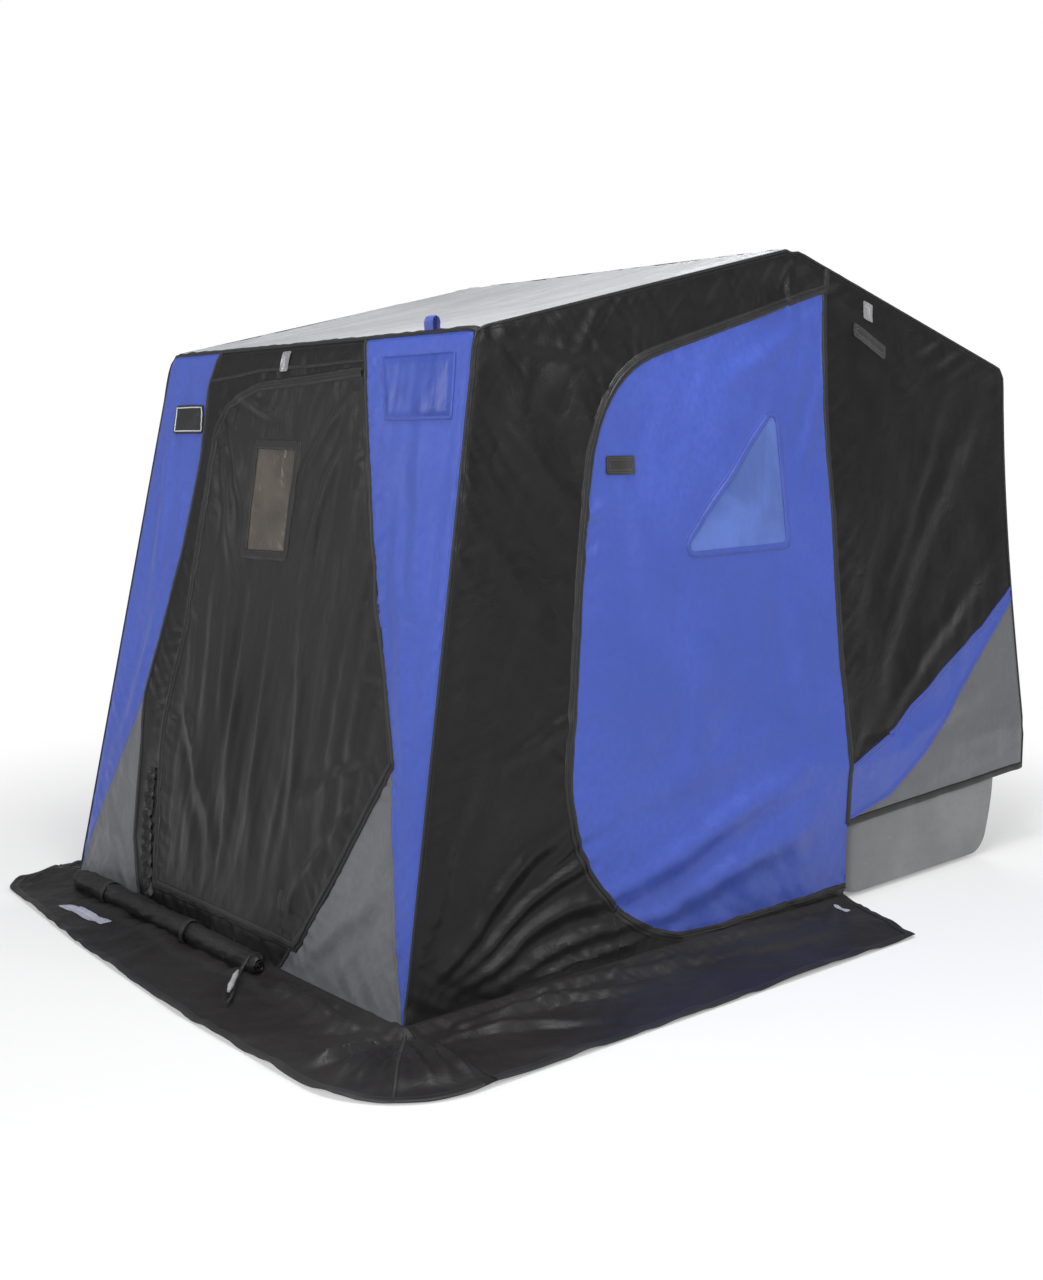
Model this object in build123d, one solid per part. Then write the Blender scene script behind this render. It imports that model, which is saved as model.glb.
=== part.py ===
from build123d import *
import math
import os

# Flip-over ice fishing shelter: a moulded sled carries three telescoping U-bows on
# one pivot line, and a sewn canopy hangs on the bows. X runs along the sled, Y from
# the front wall toward the sled, Z up. The origin is on the ice, under the middle
# of the whole outline, skirt included. All sizes are millimetres.

# ---------------------------------------------------------------- driving sizes
cloth = 3.0                 # thickness of one fabric panel
seam = 1.5                  # gap round a panel that can be unzipped
inset = 5.0                 # roof and end walls stop this far inside the side walls

foot = (-1236, 0)           # side profile (Y, Z): foot of the front wall
brow = (-883, 1733)         # front wall meets front roof
ridge = (398, 2030)         # highest line, over the main bow
tail = (1571, 1688)         # rear roof meets rear wall
rim_back = (1482, 430)      # rear wall meets the sled's rim
hem_back = (1482, 280)      # hem of the rear wall, over the sled

foot_half = 914             # half width of the canopy at the foot of the front wall
sled_half = 978             # half width where the canopy passes over the sled
brow_half = 791
ridge_half = 769
tail_half = 794
wall_reach = (600, 1100)    # X range that holds the whole right side wall
sled_start = 447            # Y where the side wall reaches the sled
seam_top = 565              # Y where the same seam reaches the roof

pivot = (486, 462)          # common pivot line of the three bows (Y, Z)
rim_z = 430                 # top of the sled's rim

tube_out = 25               # square tube of the lower poles
tube_in = 20                # square tube that slides in it
tube_wall = 1.5
elbow_size = 26
elbow_stop = 14             # the two tubes in an elbow end this far from its corner
pin_d = 12.0
pin_gap = 0.05              # radial running gap on the pivot pins
pin_head = (9, 6)           # radius and thickness of a pin's head
ear_gap = 4                 # between a bracket's ear and the nearest pole
ear_height = 22             # ears reach this far above the pivot line

# name: (profile corner, distance kept inside it, leg X, lower length, upper start)
bows = {
    "front": (brow, 28, 766, 960, 845),
    "main": (ridge, 28, 738, 815, 695),
    "rear": (tail, 40, 710, 845, 720),
}

os.makedirs("parts", exist_ok=True)


# ---------------------------------------------------------------- helpers
def write(name, *solids):
    """Write one sub-part; several solids become a group of separate solids."""
    body = solids[0] if len(solids) == 1 else Compound(children=list(solids))
    body.label = name
    export_step(body, f"parts/{name}.step")


def other_side(shape):
    """The same piece on the left of the shelter."""
    return mirror(shape, about=Plane.YZ)


def lerp(a, b, f):
    return a + (b - a) * f


def box(x0, x1, y0, y1, z0, z1):
    """Box between two corners."""
    return Pos((x0 + x1) / 2, (y0 + y1) / 2, (z0 + z1) / 2) * Box(x1 - x0, y1 - y0, z1 - z0)


def rounded(*corners):
    """Closed face from (u, v) corners, or (u, v, radius) where the corner is round."""
    edges = []
    ends = []
    for i, corner in enumerate(corners):
        here = Vector(corner[0], corner[1])
        radius = corner[2] if len(corner) > 2 else 0
        if radius == 0:
            ends.append((here, here))
            continue
        before = Vector(*corners[i - 1][:2])
        after = Vector(*corners[(i + 1) % len(corners)][:2])
        back = (before - here).normalized()
        ahead = (after - here).normalized()
        half = math.radians(back.get_angle(ahead)) / 2
        reach = radius / math.tan(half)
        middle = here + (back + ahead).normalized() * (radius / math.sin(half) - radius)
        start = here + back * reach
        stop = here + ahead * reach
        edges.append(ThreePointArc(start, middle, stop))
        ends.append((start, stop))
    for i in range(len(corners)):
        edges.append(Line(ends[i - 1][1], ends[i][0]))
    return make_face(edges)


def quilt(grid, thickness):
    """Closed solid under a grid of surface points, dropped by one thickness vector."""
    top = [[Vector(*point) for point in row] for row in grid]
    low = [[point + Vector(*thickness) for point in row] for row in top]
    rows, columns = len(top), len(top[0])
    polygons = []
    for i in range(rows - 1):
        for j in range(columns - 1):
            for layer in (top, low):
                a, b = layer[i][j], layer[i][j + 1]
                c, d = layer[i + 1][j + 1], layer[i + 1][j]
                polygons += [(a, b, c), (a, c, d)]
    rim = [(0, j) for j in range(columns)]
    rim += [(i, columns - 1) for i in range(1, rows)]
    rim += [(rows - 1, j) for j in range(columns - 2, -1, -1)]
    rim += [(i, 0) for i in range(rows - 2, 0, -1)]
    for (i, j), (k, m) in zip(rim, rim[1:] + rim[:1]):
        polygons.append((top[i][j], top[k][m], low[k][m], low[i][j]))
    faces = [Face(Wire.make_polygon(list(points), close=True)) for points in polygons]
    solid = Solid(Shell(faces))
    if solid.volume < 0:
        solid = -solid
    return solid


# ---------------------------------------------------------------- canopy surface
def roof_z(y):
    """Height of the roof line over a place along the depth."""
    if y < ridge[0]:
        return lerp(brow[1], ridge[1], max(0, (y - brow[0]) / (ridge[0] - brow[0])))
    return lerp(ridge[1], tail[1], min(1, (y - ridge[0]) / (tail[0] - ridge[0])))


def roof_half(y):
    """Half width of the canopy along the roof line."""
    if y < ridge[0]:
        return lerp(brow_half, ridge_half, max(0, (y - brow[0]) / (ridge[0] - brow[0])))
    return lerp(ridge_half, tail_half, min(1, (y - ridge[0]) / (tail[0] - ridge[0])))


def wall_half(y, z):
    """Half width of the side wall: it flares at the foot until it clears the sled."""
    toward_sled = min(1, max(0, (y - foot[0]) / (sled_start - foot[0]))) ** 2
    base = lerp(foot_half, sled_half, toward_sled)
    straight_z = rim_z * toward_sled
    height = (roof_z(y) - z) / (roof_z(y) - straight_z)
    height = min(1, max(0, height))
    return lerp(roof_half(y), base, height ** (1 + 0.5 * toward_sled))


def wall_blank(bottom, top, columns, rows, shift=0.0):
    """Side wall sheet between two lines of (Y, Z), moved outward by the shift."""
    grid = []
    for f in columns:
        low = (lerp(bottom[0][0], bottom[1][0], f), lerp(bottom[0][1], bottom[1][1], f))
        high_y = lerp(top[0], top[1], f)
        high = (high_y, roof_z(high_y))
        line = []
        for g in rows:
            y, z = lerp(low[0], high[0], g), lerp(low[1], high[1], g)
            line.append((wall_half(y, z) + shift, y, z))
        grid.append(line)
    return quilt(grid, (-cloth, 0, 0))


def slope_plane(start, end):
    """Plane of a wall or roof: X along the shelter, Y up the slope, Z outward."""
    run = Vector(0, end[0] - start[0], end[1] - start[1]).normalized()
    return Plane(origin=(0, start[0], start[1]), x_dir=(1, 0, 0),
                 z_dir=(0, -run.Z, run.Y))


def prism(face):
    """A (Y, Z) outline driven right through the right side wall."""
    return extrude(Plane.YZ.offset(wall_reach[0]) * face, amount=wall_reach[1] - wall_reach[0])


front_columns = [0, 0.15, 0.3, 0.45, 0.6, 0.75,
                 (ridge[0] - brow[0]) / (seam_top - brow[0]), 1]
rear_columns = [0, 0.25, 0.5, 0.75, 1]
wall_rows = [0, 0.1, 0.2, 0.35, 0.5, 0.65, 0.8, 0.9, 1]
hem_front_z = 245
hem_front = (lerp(sled_start, seam_top, hem_front_z / roof_z(seam_top)), hem_front_z)

front_lines = ((foot, (sled_start, 0)), (brow[0], seam_top))
rear_lines = ((hem_front, hem_back), (seam_top, tail[0]))
front_blank = wall_blank(*front_lines, front_columns, wall_rows)
rear_blank = wall_blank(*rear_lines, rear_columns, wall_rows)
front_outer = wall_blank(*front_lines, front_columns, wall_rows, cloth)
rear_outer = wall_blank(*rear_lines, rear_columns, wall_rows, cloth)


# ---------------------------------------------------------------- side walls
side_door_z = (47, 1915)    # foot and head of the side door's sewn edge
door_curves = ((-466, 1626, 400), (-735, 12, 480))      # round front corners


def seam_y(z):
    """Y of the straight sewn edge between the side door and the rear side panel."""
    return lerp(sled_start, seam_top, z / roof_z(seam_top))


door_outline = rounded(*[(seam_y(z) - seam, z) for z in side_door_z], *door_curves)
door_hole = offset(door_outline, seam, kind=Kind.INTERSECTION)
window_outline = rounded((290, 1556, 25), (297, 1128, 25), (-172, 1118, 25))

side_panel = front_blank - prism(door_hole)
side_door = (front_blank & prism(door_outline)) - prism(window_outline)
side_window = front_blank & prism(offset(window_outline, -0.5))
door_tab = front_outer & prism(rounded((-443, 1405), (-330, 1405), (-330, 1354), (-443, 1354)))

write("side_panel_right", side_panel)
write("side_panel_left", other_side(side_panel))
write("side_door_right", side_door)
write("side_door_left", other_side(side_door))
write("side_window_right", side_window)
write("side_window_left", other_side(side_window))
write("door_tab_right", door_tab)
write("door_tab_left", other_side(door_tab))

# Rear side: black above, a swept blue flash, then the grey band down to the hem.
flash_top = [(sled_start, 425), (737, 512), (840, 575), (1010, 661), (1310, 790), (1530, 945)]
flash_low = [(sled_start, 262), (681, 309), (871, 417), (1091, 580), (1256, 687), (1540, 905)]
far_back = 1700
above_flash = rounded((sled_start, 2100), *flash_top, (far_back, 1000), (far_back, 2100))
flash_face = rounded(*flash_top, (far_back, 1000), (far_back, 950), *reversed(flash_low))
below_flash = rounded(*flash_low, (far_back, 950), (far_back, 200), (sled_start, 200))

rear_side = rear_blank & prism(above_flash)
flash = rear_blank & prism(flash_face)
band_side = rear_blank & prism(below_flash)
vent_patch = rear_outer & prism(rounded((698, 1820), (859, 1745), (859, 1700), (698, 1775)))
rear_tag = rear_outer & prism(rounded((724, 1906), (807, 1882), (807, 1845), (724, 1869)))

write("rear_side_right", rear_side)
write("rear_side_left", other_side(rear_side))
write("blue_flashes", flash, other_side(flash))
write("vent_patches", vent_patch, other_side(vent_patch))
write("rear_tags", rear_tag, other_side(rear_tag))

# ---------------------------------------------------------------- rear wall, roofs
rear_plane = slope_plane(tail, rim_back)
rear_length = math.dist(tail, rim_back)
band_top = 930              # height where the grey band begins


def rear_point(z):
    """(half width, distance down the rear wall) at a height above the rim."""
    f = (tail[1] - z) / (tail[1] - rim_back[1])
    y = lerp(tail[0], rim_back[0], f)
    return wall_half(y, z) - inset, f * rear_length


def across(*levels):
    """Symmetric outline through (half width, distance) levels."""
    right = [(half, v) for half, v in levels]
    left = [(-half, v) for half, v in reversed(levels)]
    return rounded(*right, *left)


rear_levels = [rear_point(z) for z in (tail[1] - 2, 1500, 1200, band_top)]
band_levels = [rear_point(z) for z in (band_top, 680, rim_z)]
rear_wall = extrude(rear_plane * across(*rear_levels), amount=-cloth)
band_rear = extrude(rear_plane * across(*band_levels), amount=-cloth)
hem_half = sled_half - inset
band_rear += box(-hem_half, hem_half, hem_back[0] - cloth, hem_back[0], hem_back[1], rim_z)

front_roof_plane = slope_plane(brow, ridge)
front_roof_length = math.dist(brow, ridge)
rear_roof_plane = slope_plane(ridge, tail)
rear_roof_length = math.dist(ridge, tail)
front_roof = extrude(front_roof_plane * across((brow_half - inset, inset),
                                               (ridge_half - inset, front_roof_length - 2)),
                     amount=-cloth)
rear_roof = extrude(rear_roof_plane * across((ridge_half - inset, 2),
                                             (tail_half - inset, rear_roof_length - inset)),
                    amount=-cloth)

write("rear_wall", rear_wall)
write("lower_band", band_side, other_side(band_side), band_rear)
write("front_roof", front_roof)
write("rear_roof", rear_roof)

# ---------------------------------------------------------------- front wall
front_plane = slope_plane(foot, brow)
front_rise = math.dist(foot, brow) / brow[1]       # distance up the slope per height


def on_front(*corners):
    """Outline on the front wall from (X, Z) corners, or (X, Z, radius)."""
    return rounded(*[(c[0], c[1] * front_rise, *c[2:]) for c in corners])


def front_piece(face, lift=0.0, thickness=cloth):
    """A face of the front wall made solid, lifted off the wall's outer surface."""
    return extrude(front_plane.offset(lift) * face, amount=-thickness)


foot_edge = foot_half - inset
brow_edge = brow_half - inset
front_top = brow[1] - 1
whole_front = on_front((foot_edge, 0), (brow_edge, front_top), (-brow_edge, front_top),
                       (-foot_edge, 0))
strip_right = on_front((314, front_top), (543, 1031), (708, 625), (830, 212), (foot_edge, 0),
                       (brow_edge, front_top))
strip_left = on_front((-465, front_top), (-brow_edge, front_top), (-foot_edge, 0), (-830, 212),
                      (-630, 650), (-579, 826), (-517, 1120), (-490, 1400, 300), (-506, 1618))
gusset_right = on_front((708, 625), (830, 212), (foot_edge, 0), (330, 0), (528, 282))
gusset_left = on_front((-630, 650), (-830, 212), (-foot_edge, 0), (-470, 0), (-566, 199))
door_top = (334, 1636)              # ends of the straight sewn edge of the front door
door_knee = (704, 630)
front_door_z = 95                   # height of the front door's foot
front_door_face = on_front(door_top, door_knee, (526, 286), (412, front_door_z),
                           (-395, front_door_z), (-487, 560, 500), (-431, 860, 400),
                           (-425, 1550, 150), (-192, 1612, 300))
pane_face = on_front((-161, 1436), (53, 1432), (56, 1128), (-148, 1124))
open_front = offset(front_door_face, seam)
surround_face = (whole_front - strip_right - strip_left - gusset_right - gusset_left
                 - open_front)
front_door = front_piece(front_door_face - pane_face)

write("front_door", front_door)
write("front_window", front_piece(offset(pane_face, -0.5)))
write("front_surround", *front_piece(surround_face).solids())
write("corner_strips", front_piece(strip_right - open_front), front_piece(strip_left))
write("lower_gussets", front_piece(gusset_right - open_front), front_piece(gusset_left))
write("pocket_window", front_piece(on_front((420, 1672), (726, 1672), (744, 1506), (470, 1506)),
                                   lift=1.2, thickness=1.2))
write("badge_patch", front_piece(on_front((-690, 1565, 12), (-520, 1565, 12), (-500, 1475, 12),
                                          (-684, 1475, 12)), lift=1.5, thickness=1.5))
write("front_tag", front_piece(on_front((-104, 1712), (-36, 1712), (-36, 1652), (-104, 1652)),
                               lift=1.5, thickness=1.5))

# A webbing tie-down loop stands on the front edge of the roof.
loop_x = 590
loop_width = 38
loop_size = (26, 48)
loop_lift = 16                      # its middle above the front edge
webbing = 2.5
loop_ring = RectangleRounded(*loop_size, 12) - RectangleRounded(
    loop_size[0] - 2 * webbing, loop_size[1] - 2 * webbing, 12 - webbing)
loop = extrude(Plane.YZ.offset(loop_x - loop_width / 2)
               * Pos(brow[0] + 20, brow[1] + loop_lift) * loop_ring, amount=loop_width)
under_roof = extrude(front_roof_plane * across((900, -200), (900, 400)), amount=-60)
loop -= under_roof
write("tie_down_loop", loop)

# Rolled fabric along the foot of the front wall, and the pull of the door's zip.
roll_radius = 32
roll_ends = (-790, 330)
skirt_thickness = 4
roll = Pos(sum(roll_ends) / 2, foot[0] - roll_radius - 12, skirt_thickness + roll_radius)
roll *= Rot(Y=90)
write("sill_roll", roll * Cylinder(roll_radius, roll_ends[1] - roll_ends[0]))
pull_face = on_front((330, 235, 5), (356, 235, 5), (356, 160, 5), (330, 160, 5))
write("front_door_pull", front_piece(pull_face, lift=5, thickness=5))

# ---------------------------------------------------------------- ice skirt
# The left front corner of the skirt lies tucked in, the rest of it lies spread out.
skirt_front_y = -1571
skirt_half = 1275
skirt_end = (sled_half + 2, sled_start - 5)
fold_y = foot[0] - 1                # seam between the front skirt and the side skirts
front_skirt_face = rounded((-1045, fold_y), (-1010, -1452, 130), (-300, -1526, 900),
                           (400, skirt_front_y, 900), (skirt_half, skirt_front_y, 300),
                           (skirt_half, fold_y))


def side_skirt(outer_edge):
    """Flat skirt from the foot of a side wall out to an edge of (half width, Y) points."""
    face = rounded((foot_half + 1, foot[0]), *outer_edge, (1040, skirt_end[1]), skirt_end)
    return extrude(face, amount=skirt_thickness)


skirt_tip = (1319, 328)
spread_edge = [(skirt_half, foot[0]), skirt_tip]
tucked_edge = [(1045, foot[0]), (1070, -1111), (1278, -830), skirt_tip]
write("front_skirt", extrude(front_skirt_face, amount=skirt_thickness))
write("side_skirt_right", side_skirt(spread_edge))
write("side_skirt_left", other_side(side_skirt(tucked_edge)))

# ---------------------------------------------------------------- sled
tub_half = 962
tub_wall = 6
tub_floor_z = 12                    # the tub stands on its runners
tub_front, tub_back = 460, 1375     # outside of the tub at the rim
tub_middle = (tub_front + tub_back) / 2
tub_corner = 90                     # radius of the upright corners
rim_front, rim_rear = 454, 1470     # outer edges of the turned-out rim
rim_middle = (rim_front + rim_rear) / 2
rim_half = 966
rim_corner = 100
mouth_front, mouth_back = 514, 1365


def tub_block(gap, top):
    """Outside of the tub, drawn in on every side by a gap."""
    section = rounded((468 + gap, tub_floor_z + gap, 50 - gap),
                      (1255 - gap, tub_floor_z + gap, 90 - gap),
                      (tub_back - gap, top), (tub_front + gap, top))
    half = tub_half - gap
    plan = RectangleRounded(2 * half, tub_back - tub_front - 2 * gap, tub_corner - gap)
    along = extrude(Plane.YZ.offset(-half) * section, amount=2 * half)
    return along & extrude(Pos(0, tub_middle) * plan, amount=top)


def rim_ring(outer_gap, mouth):
    """Flat ring of the rim between its outer edge and an inner face."""
    outer = RectangleRounded(2 * (rim_half - outer_gap), rim_rear - rim_front - 2 * outer_gap,
                             rim_corner - outer_gap)
    return Pos(0, rim_middle) * outer - mouth


mouth = Pos(0, (mouth_front + mouth_back) / 2) * RectangleRounded(
    2 * 905, mouth_back - mouth_front, 60)
rim_thickness = 10
lip_depth = 40
lip_wall = 5
tub = tub_block(0, rim_z) - tub_block(tub_wall, rim_z + 1)
tub += extrude(Pos(0, 0, rim_z - rim_thickness) * rim_ring(0, mouth), amount=rim_thickness)
tub += extrude(Pos(0, 0, rim_z - lip_depth) * rim_ring(0, rim_ring(lip_wall, Sketch())),
               amount=lip_depth - rim_thickness + 1)

runner_size = (1700, 60, tub_floor_z)
runners = [Pos(0, y, tub_floor_z / 2) * Box(*runner_size) for y in (560, 860, 1160)]
write("sled_runners", *runners)

# Tow hitch on the left end of the sled: a folded plate with a cross bore for the pin.
hitch_y = 915
hitch_z = 150
plate_thickness = 6
hitch_bore = 13
hitch = box(-tub_half - plate_thickness, -tub_half, hitch_y - 110, hitch_y + 110,
            hitch_z - 60, hitch_z + 60)
for lug_z in (hitch_z - 26, hitch_z + 20):
    hitch += box(-tub_half - 70, -tub_half - plate_thickness, hitch_y - 40, hitch_y + 40,
                 lug_z, lug_z + plate_thickness)
hitch -= Pos(-tub_half - 45, hitch_y, hitch_z) * Cylinder(hitch_bore / 2, 120)
bolt_places = [(hitch_y + dy, hitch_z + dz) for dy in (-90, 90) for dz in (-42, 42)]
hitch_bolts = []
for y, z in bolt_places:
    hitch -= Pos(-tub_half - plate_thickness / 2, y, z) * Rot(Y=90) * Cylinder(5, 10)
    shank = Pos(-tub_half + 2, y, z) * Rot(Y=90) * Cylinder(4.9, 2 * plate_thickness + 8)
    head = Pos(-tub_half - plate_thickness - 3, y, z) * Rot(Y=90) * Cylinder(8.5, 6)
    hitch_bolts.append(head + shank)
    tub -= Pos(-tub_half, y, z) * Rot(Y=90) * Cylinder(5, 40)
write("tow_hitch", hitch)
write("hitch_bolts", *hitch_bolts)

# ---------------------------------------------------------------- pivot brackets
legs = sorted(bow[2] for bow in bows.values())
ear_inner = legs[0] - tube_out / 2 - ear_gap
ear_outer = legs[-1] + tube_out / 2 + ear_gap
ear_thickness = 5
base_z = rim_z + 4
bracket = box(ear_inner - 45, ear_outer + 45, 460, 510, rim_z, base_z)
for ear_x in (ear_inner - ear_thickness, ear_outer):
    bracket += box(ear_x, ear_x + ear_thickness, 464, 508, base_z, pivot[1] + ear_height)
pin_hole = Rot(Y=90) * Cylinder(pin_d / 2 + pin_gap, 300)
pin_middle = (ear_inner + ear_outer) / 2
bracket -= Pos(pin_middle, *pivot) * pin_hole
pin = Pos(pin_middle, *pivot) * Rot(Y=90) * Cylinder(pin_d / 2, ear_outer - ear_inner + 18)
pin_heads = []
for head_x in (ear_inner - ear_thickness - 4, ear_outer + ear_thickness + 4):
    pin_heads.append(Pos(head_x, *pivot) * Rot(Y=90) * Cylinder(*pin_head))
pin = pin + pin_heads
bracket_bolts = []
for bolt_x in (ear_inner - 28, ear_outer + 28):
    bracket -= Pos(bolt_x, 485, rim_z) * Cylinder(4.1, 20)
    tub -= Pos(bolt_x, 485, rim_z) * Cylinder(4.1, 60)
    tub -= Pos(-bolt_x, 485, rim_z) * Cylinder(4.1, 60)
    bolt = Pos(bolt_x, 485, base_z + 2.5) * Cylinder(6.5, 5)
    bolt += Pos(bolt_x, 485, rim_z - 5) * Cylinder(4, 22)
    bolt += Pos(bolt_x, 485, rim_z - 14) * Cylinder(6.5, 6)
    bracket_bolts += [bolt, other_side(bolt)]
write("pivot_brackets", bracket, other_side(bracket))
write("pivot_pins", pin, other_side(pin))
write("bracket_bolts", *bracket_bolts)
write("sled_tub", tub)


# ---------------------------------------------------------------- bows
def bow_plane(corner, leg_x):
    """Local frame of one leg: origin on the pivot, Z along the pole."""
    run = Vector(0, corner[0] - pivot[0], corner[1] - pivot[1])
    return Plane(origin=(leg_x, *pivot), x_dir=(1, 0, 0), z_dir=run)


def square(size, low, high):
    return Pos(0, 0, (low + high) / 2) * Box(size, size, high - low)


def square_tube(size, low, high):
    return square(size, low, high) - square(size - 2 * tube_wall, low - 1, high + 1)


collar_size = 35
lever_width = 24
trunnion_d = 6
lever_length = 62


def collar(lower_length):
    """Clamp collar on the top of a lower pole, with two ears for its lever."""
    low, high = lower_length - 45, lower_length + 12
    ring = square(collar_size, low, high) - square(tube_out + 0.2, low - 1, lower_length + 1)
    ring -= square(tube_in + 1.2, low, high + 1)
    hinge_z = lower_length - 16
    for side in (-1, 1):
        ear = Pos(side * (lever_width / 2 + 3), -collar_size / 2 - 5, hinge_z) * Box(4, 12, 16)
        ring += ear
    axle = Pos(0, -collar_size / 2 - 6, hinge_z) * Rot(Y=90)
    ring += axle * Cylinder(trunnion_d / 2, lever_width + 6)
    return ring


def lever(lower_length):
    """Cam lever that lies along the pole and swings away from it."""
    hinge_z = lower_length - 16
    hinge_y = -collar_size / 2 - 6
    barrel = Pos(0, hinge_y, hinge_z) * Rot(Y=90) * Cylinder(5.4, lever_width)
    blade = Pos(0, hinge_y, hinge_z - lever_length / 2) * Box(lever_width, 5, lever_length)
    tip = Pos(0, hinge_y - 2, hinge_z - lever_length) * Rot(Y=90) * Cylinder(4.5, lever_width)
    bore = Pos(0, hinge_y, hinge_z) * Rot(Y=90)
    return barrel + blade + tip - bore * Cylinder(trunnion_d / 2 + pin_gap, lever_width + 10)


for name, (corner, keep_inside, leg_x, lower_length, upper_start) in bows.items():
    frame_right = bow_plane(corner, leg_x)
    top = math.dist(corner, pivot) - keep_inside
    cross_hole = Rot(Y=90) * Cylinder(pin_d / 2 + pin_gap, 100)
    lower = square_tube(tube_out, -18, lower_length) - cross_hole
    upper = square_tube(tube_in, upper_start, top - elbow_stop)
    arm = Pos(elbow_size / 2 - 33, 0, top) * Box(66, elbow_size, elbow_size)
    elbow = square(elbow_size, top - 45, top + elbow_size / 2) + arm
    elbow -= square(tube_in, top - 46, top - elbow_stop)
    elbow -= Pos(-50 - elbow_stop, 0, top) * Box(100, tube_in, tube_in)
    crossbar_half = leg_x - elbow_stop
    bar = Pos(-leg_x, 0, top) * (Box(2 * crossbar_half, tube_in, tube_in)
                                 - Box(2 * crossbar_half + 2, tube_in - 3, tube_in - 3))
    sets = {
        "lower_poles": lower,
        "upper_poles": upper,
        "elbows": elbow,
        "collars": collar(lower_length),
    }
    for piece, shape in sets.items():
        placed = frame_right * shape
        write(f"{name}_{piece}", placed, other_side(placed))
    write(f"{name}_crossbar", frame_right * bar)
    placed = frame_right * lever(lower_length)
    write(f"{name}_lever_right", placed)
    write(f"{name}_lever_left", other_side(placed))
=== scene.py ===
import math

import bpy
import numpy as np
from mathutils import Matrix, Vector
from mathutils.geometry import delaunay_2d_cdt


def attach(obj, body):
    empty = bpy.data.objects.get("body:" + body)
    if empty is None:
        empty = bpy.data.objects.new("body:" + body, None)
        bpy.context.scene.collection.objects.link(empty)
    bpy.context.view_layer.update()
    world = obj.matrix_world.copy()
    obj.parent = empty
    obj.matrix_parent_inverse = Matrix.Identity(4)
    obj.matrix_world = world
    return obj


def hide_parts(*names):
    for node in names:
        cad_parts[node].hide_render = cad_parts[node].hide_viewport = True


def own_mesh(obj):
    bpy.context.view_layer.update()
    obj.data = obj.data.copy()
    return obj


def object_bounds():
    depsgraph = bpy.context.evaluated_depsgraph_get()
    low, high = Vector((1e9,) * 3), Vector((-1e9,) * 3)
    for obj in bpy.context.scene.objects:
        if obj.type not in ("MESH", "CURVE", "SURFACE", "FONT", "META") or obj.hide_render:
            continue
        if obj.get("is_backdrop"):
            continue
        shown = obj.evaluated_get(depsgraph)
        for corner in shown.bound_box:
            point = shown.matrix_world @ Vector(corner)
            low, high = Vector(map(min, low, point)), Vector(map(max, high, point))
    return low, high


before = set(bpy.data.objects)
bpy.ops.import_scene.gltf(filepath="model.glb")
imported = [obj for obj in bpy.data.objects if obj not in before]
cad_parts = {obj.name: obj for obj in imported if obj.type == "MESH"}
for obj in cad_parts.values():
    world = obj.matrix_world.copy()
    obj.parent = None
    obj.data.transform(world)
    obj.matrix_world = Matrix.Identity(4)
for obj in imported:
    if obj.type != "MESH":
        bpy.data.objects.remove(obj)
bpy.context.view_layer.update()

# ---------------------------------------------------------------- camera
CAMERA_AT = (3.736, -3.306, 1.45)
AZIMUTH, PITCH, ROLL = (math.radians(a) for a in (48.875, 7.649, -0.335))

forward = Vector((-math.sin(AZIMUTH) * math.cos(PITCH),
                  math.cos(AZIMUTH) * math.cos(PITCH), -math.sin(PITCH)))
level = Vector((math.cos(AZIMUTH), math.sin(AZIMUTH), 0))
upright = level.cross(forward)
right_axis = level * math.cos(ROLL) + upright * math.sin(ROLL)
up_axis = upright * math.cos(ROLL) - level * math.sin(ROLL)
camera_data = bpy.data.cameras.new("camera")
camera_data.lens, camera_data.sensor_width = 41.93, 36
camera = bpy.data.objects.new("camera", camera_data)
bpy.context.scene.collection.objects.link(camera)
turn = Matrix((right_axis, up_axis, -forward)).transposed().to_4x4()
camera.matrix_world = Matrix.Translation(CAMERA_AT) @ turn
bpy.context.scene.camera = camera

# ---------------------------------------------------------------- shelter sizes
# Corners of the side outline, as (Y, Z).
FOOT, BROW, RIDGE, TAIL = (-1.236, 0.0), (-0.883, 1.733), (0.398, 2.030), (1.571, 1.688)
RIM, HEM = (1.482, 0.430), (1.482, 0.280)
# Half widths at those corners.
FOOT_HALF, SLED_HALF, BROW_HALF, RIDGE_HALF, TAIL_HALF = 0.914, 0.978, 0.791, 0.769, 0.794
BOWS = ((BROW, BROW_HALF), (RIDGE, RIDGE_HALF), (TAIL, TAIL_HALF))
SEAM_FOOT, SEAM_TOP = 0.447, 0.565      # Y of the seam behind the side doors
HEM_FRONT_Z = 0.245         # the lower band's hem at that seam
PIVOT = (0.0, 0.486, 0.462)  # the bows turn here, on both sides of the sled
STEP = 0.016                # distance between the vertices of a large panel
CLOTH = 0.0014              # thickness of the canopy cloth
SIDE_DEPTH = 1.5            # how deep the folds of the side walls are


def lerp(a, b, f):
    return a + (b - a) * f


def ease(t):
    """Smooth rise from 0 at t = 0 to 1 at t = 1."""
    t = np.clip(t, 0, 1)
    return t * t * (3 - 2 * t)


def from_bow_to_bow(y, brow, ridge, tail):
    """A value that runs straight from bow to bow along Y."""
    y = np.asarray(y, float)
    front = lerp(brow, ridge, np.clip((y - BROW[0]) / (RIDGE[0] - BROW[0]), 0, 1))
    rear = lerp(ridge, tail, np.clip((y - RIDGE[0]) / (TAIL[0] - RIDGE[0]), 0, 1))
    return np.where(y < RIDGE[0], front, rear)


def roof_z(y):
    return from_bow_to_bow(y, BROW[1], RIDGE[1], TAIL[1])


def roof_half(y):
    return from_bow_to_bow(y, BROW_HALF, RIDGE_HALF, TAIL_HALF)


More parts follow.
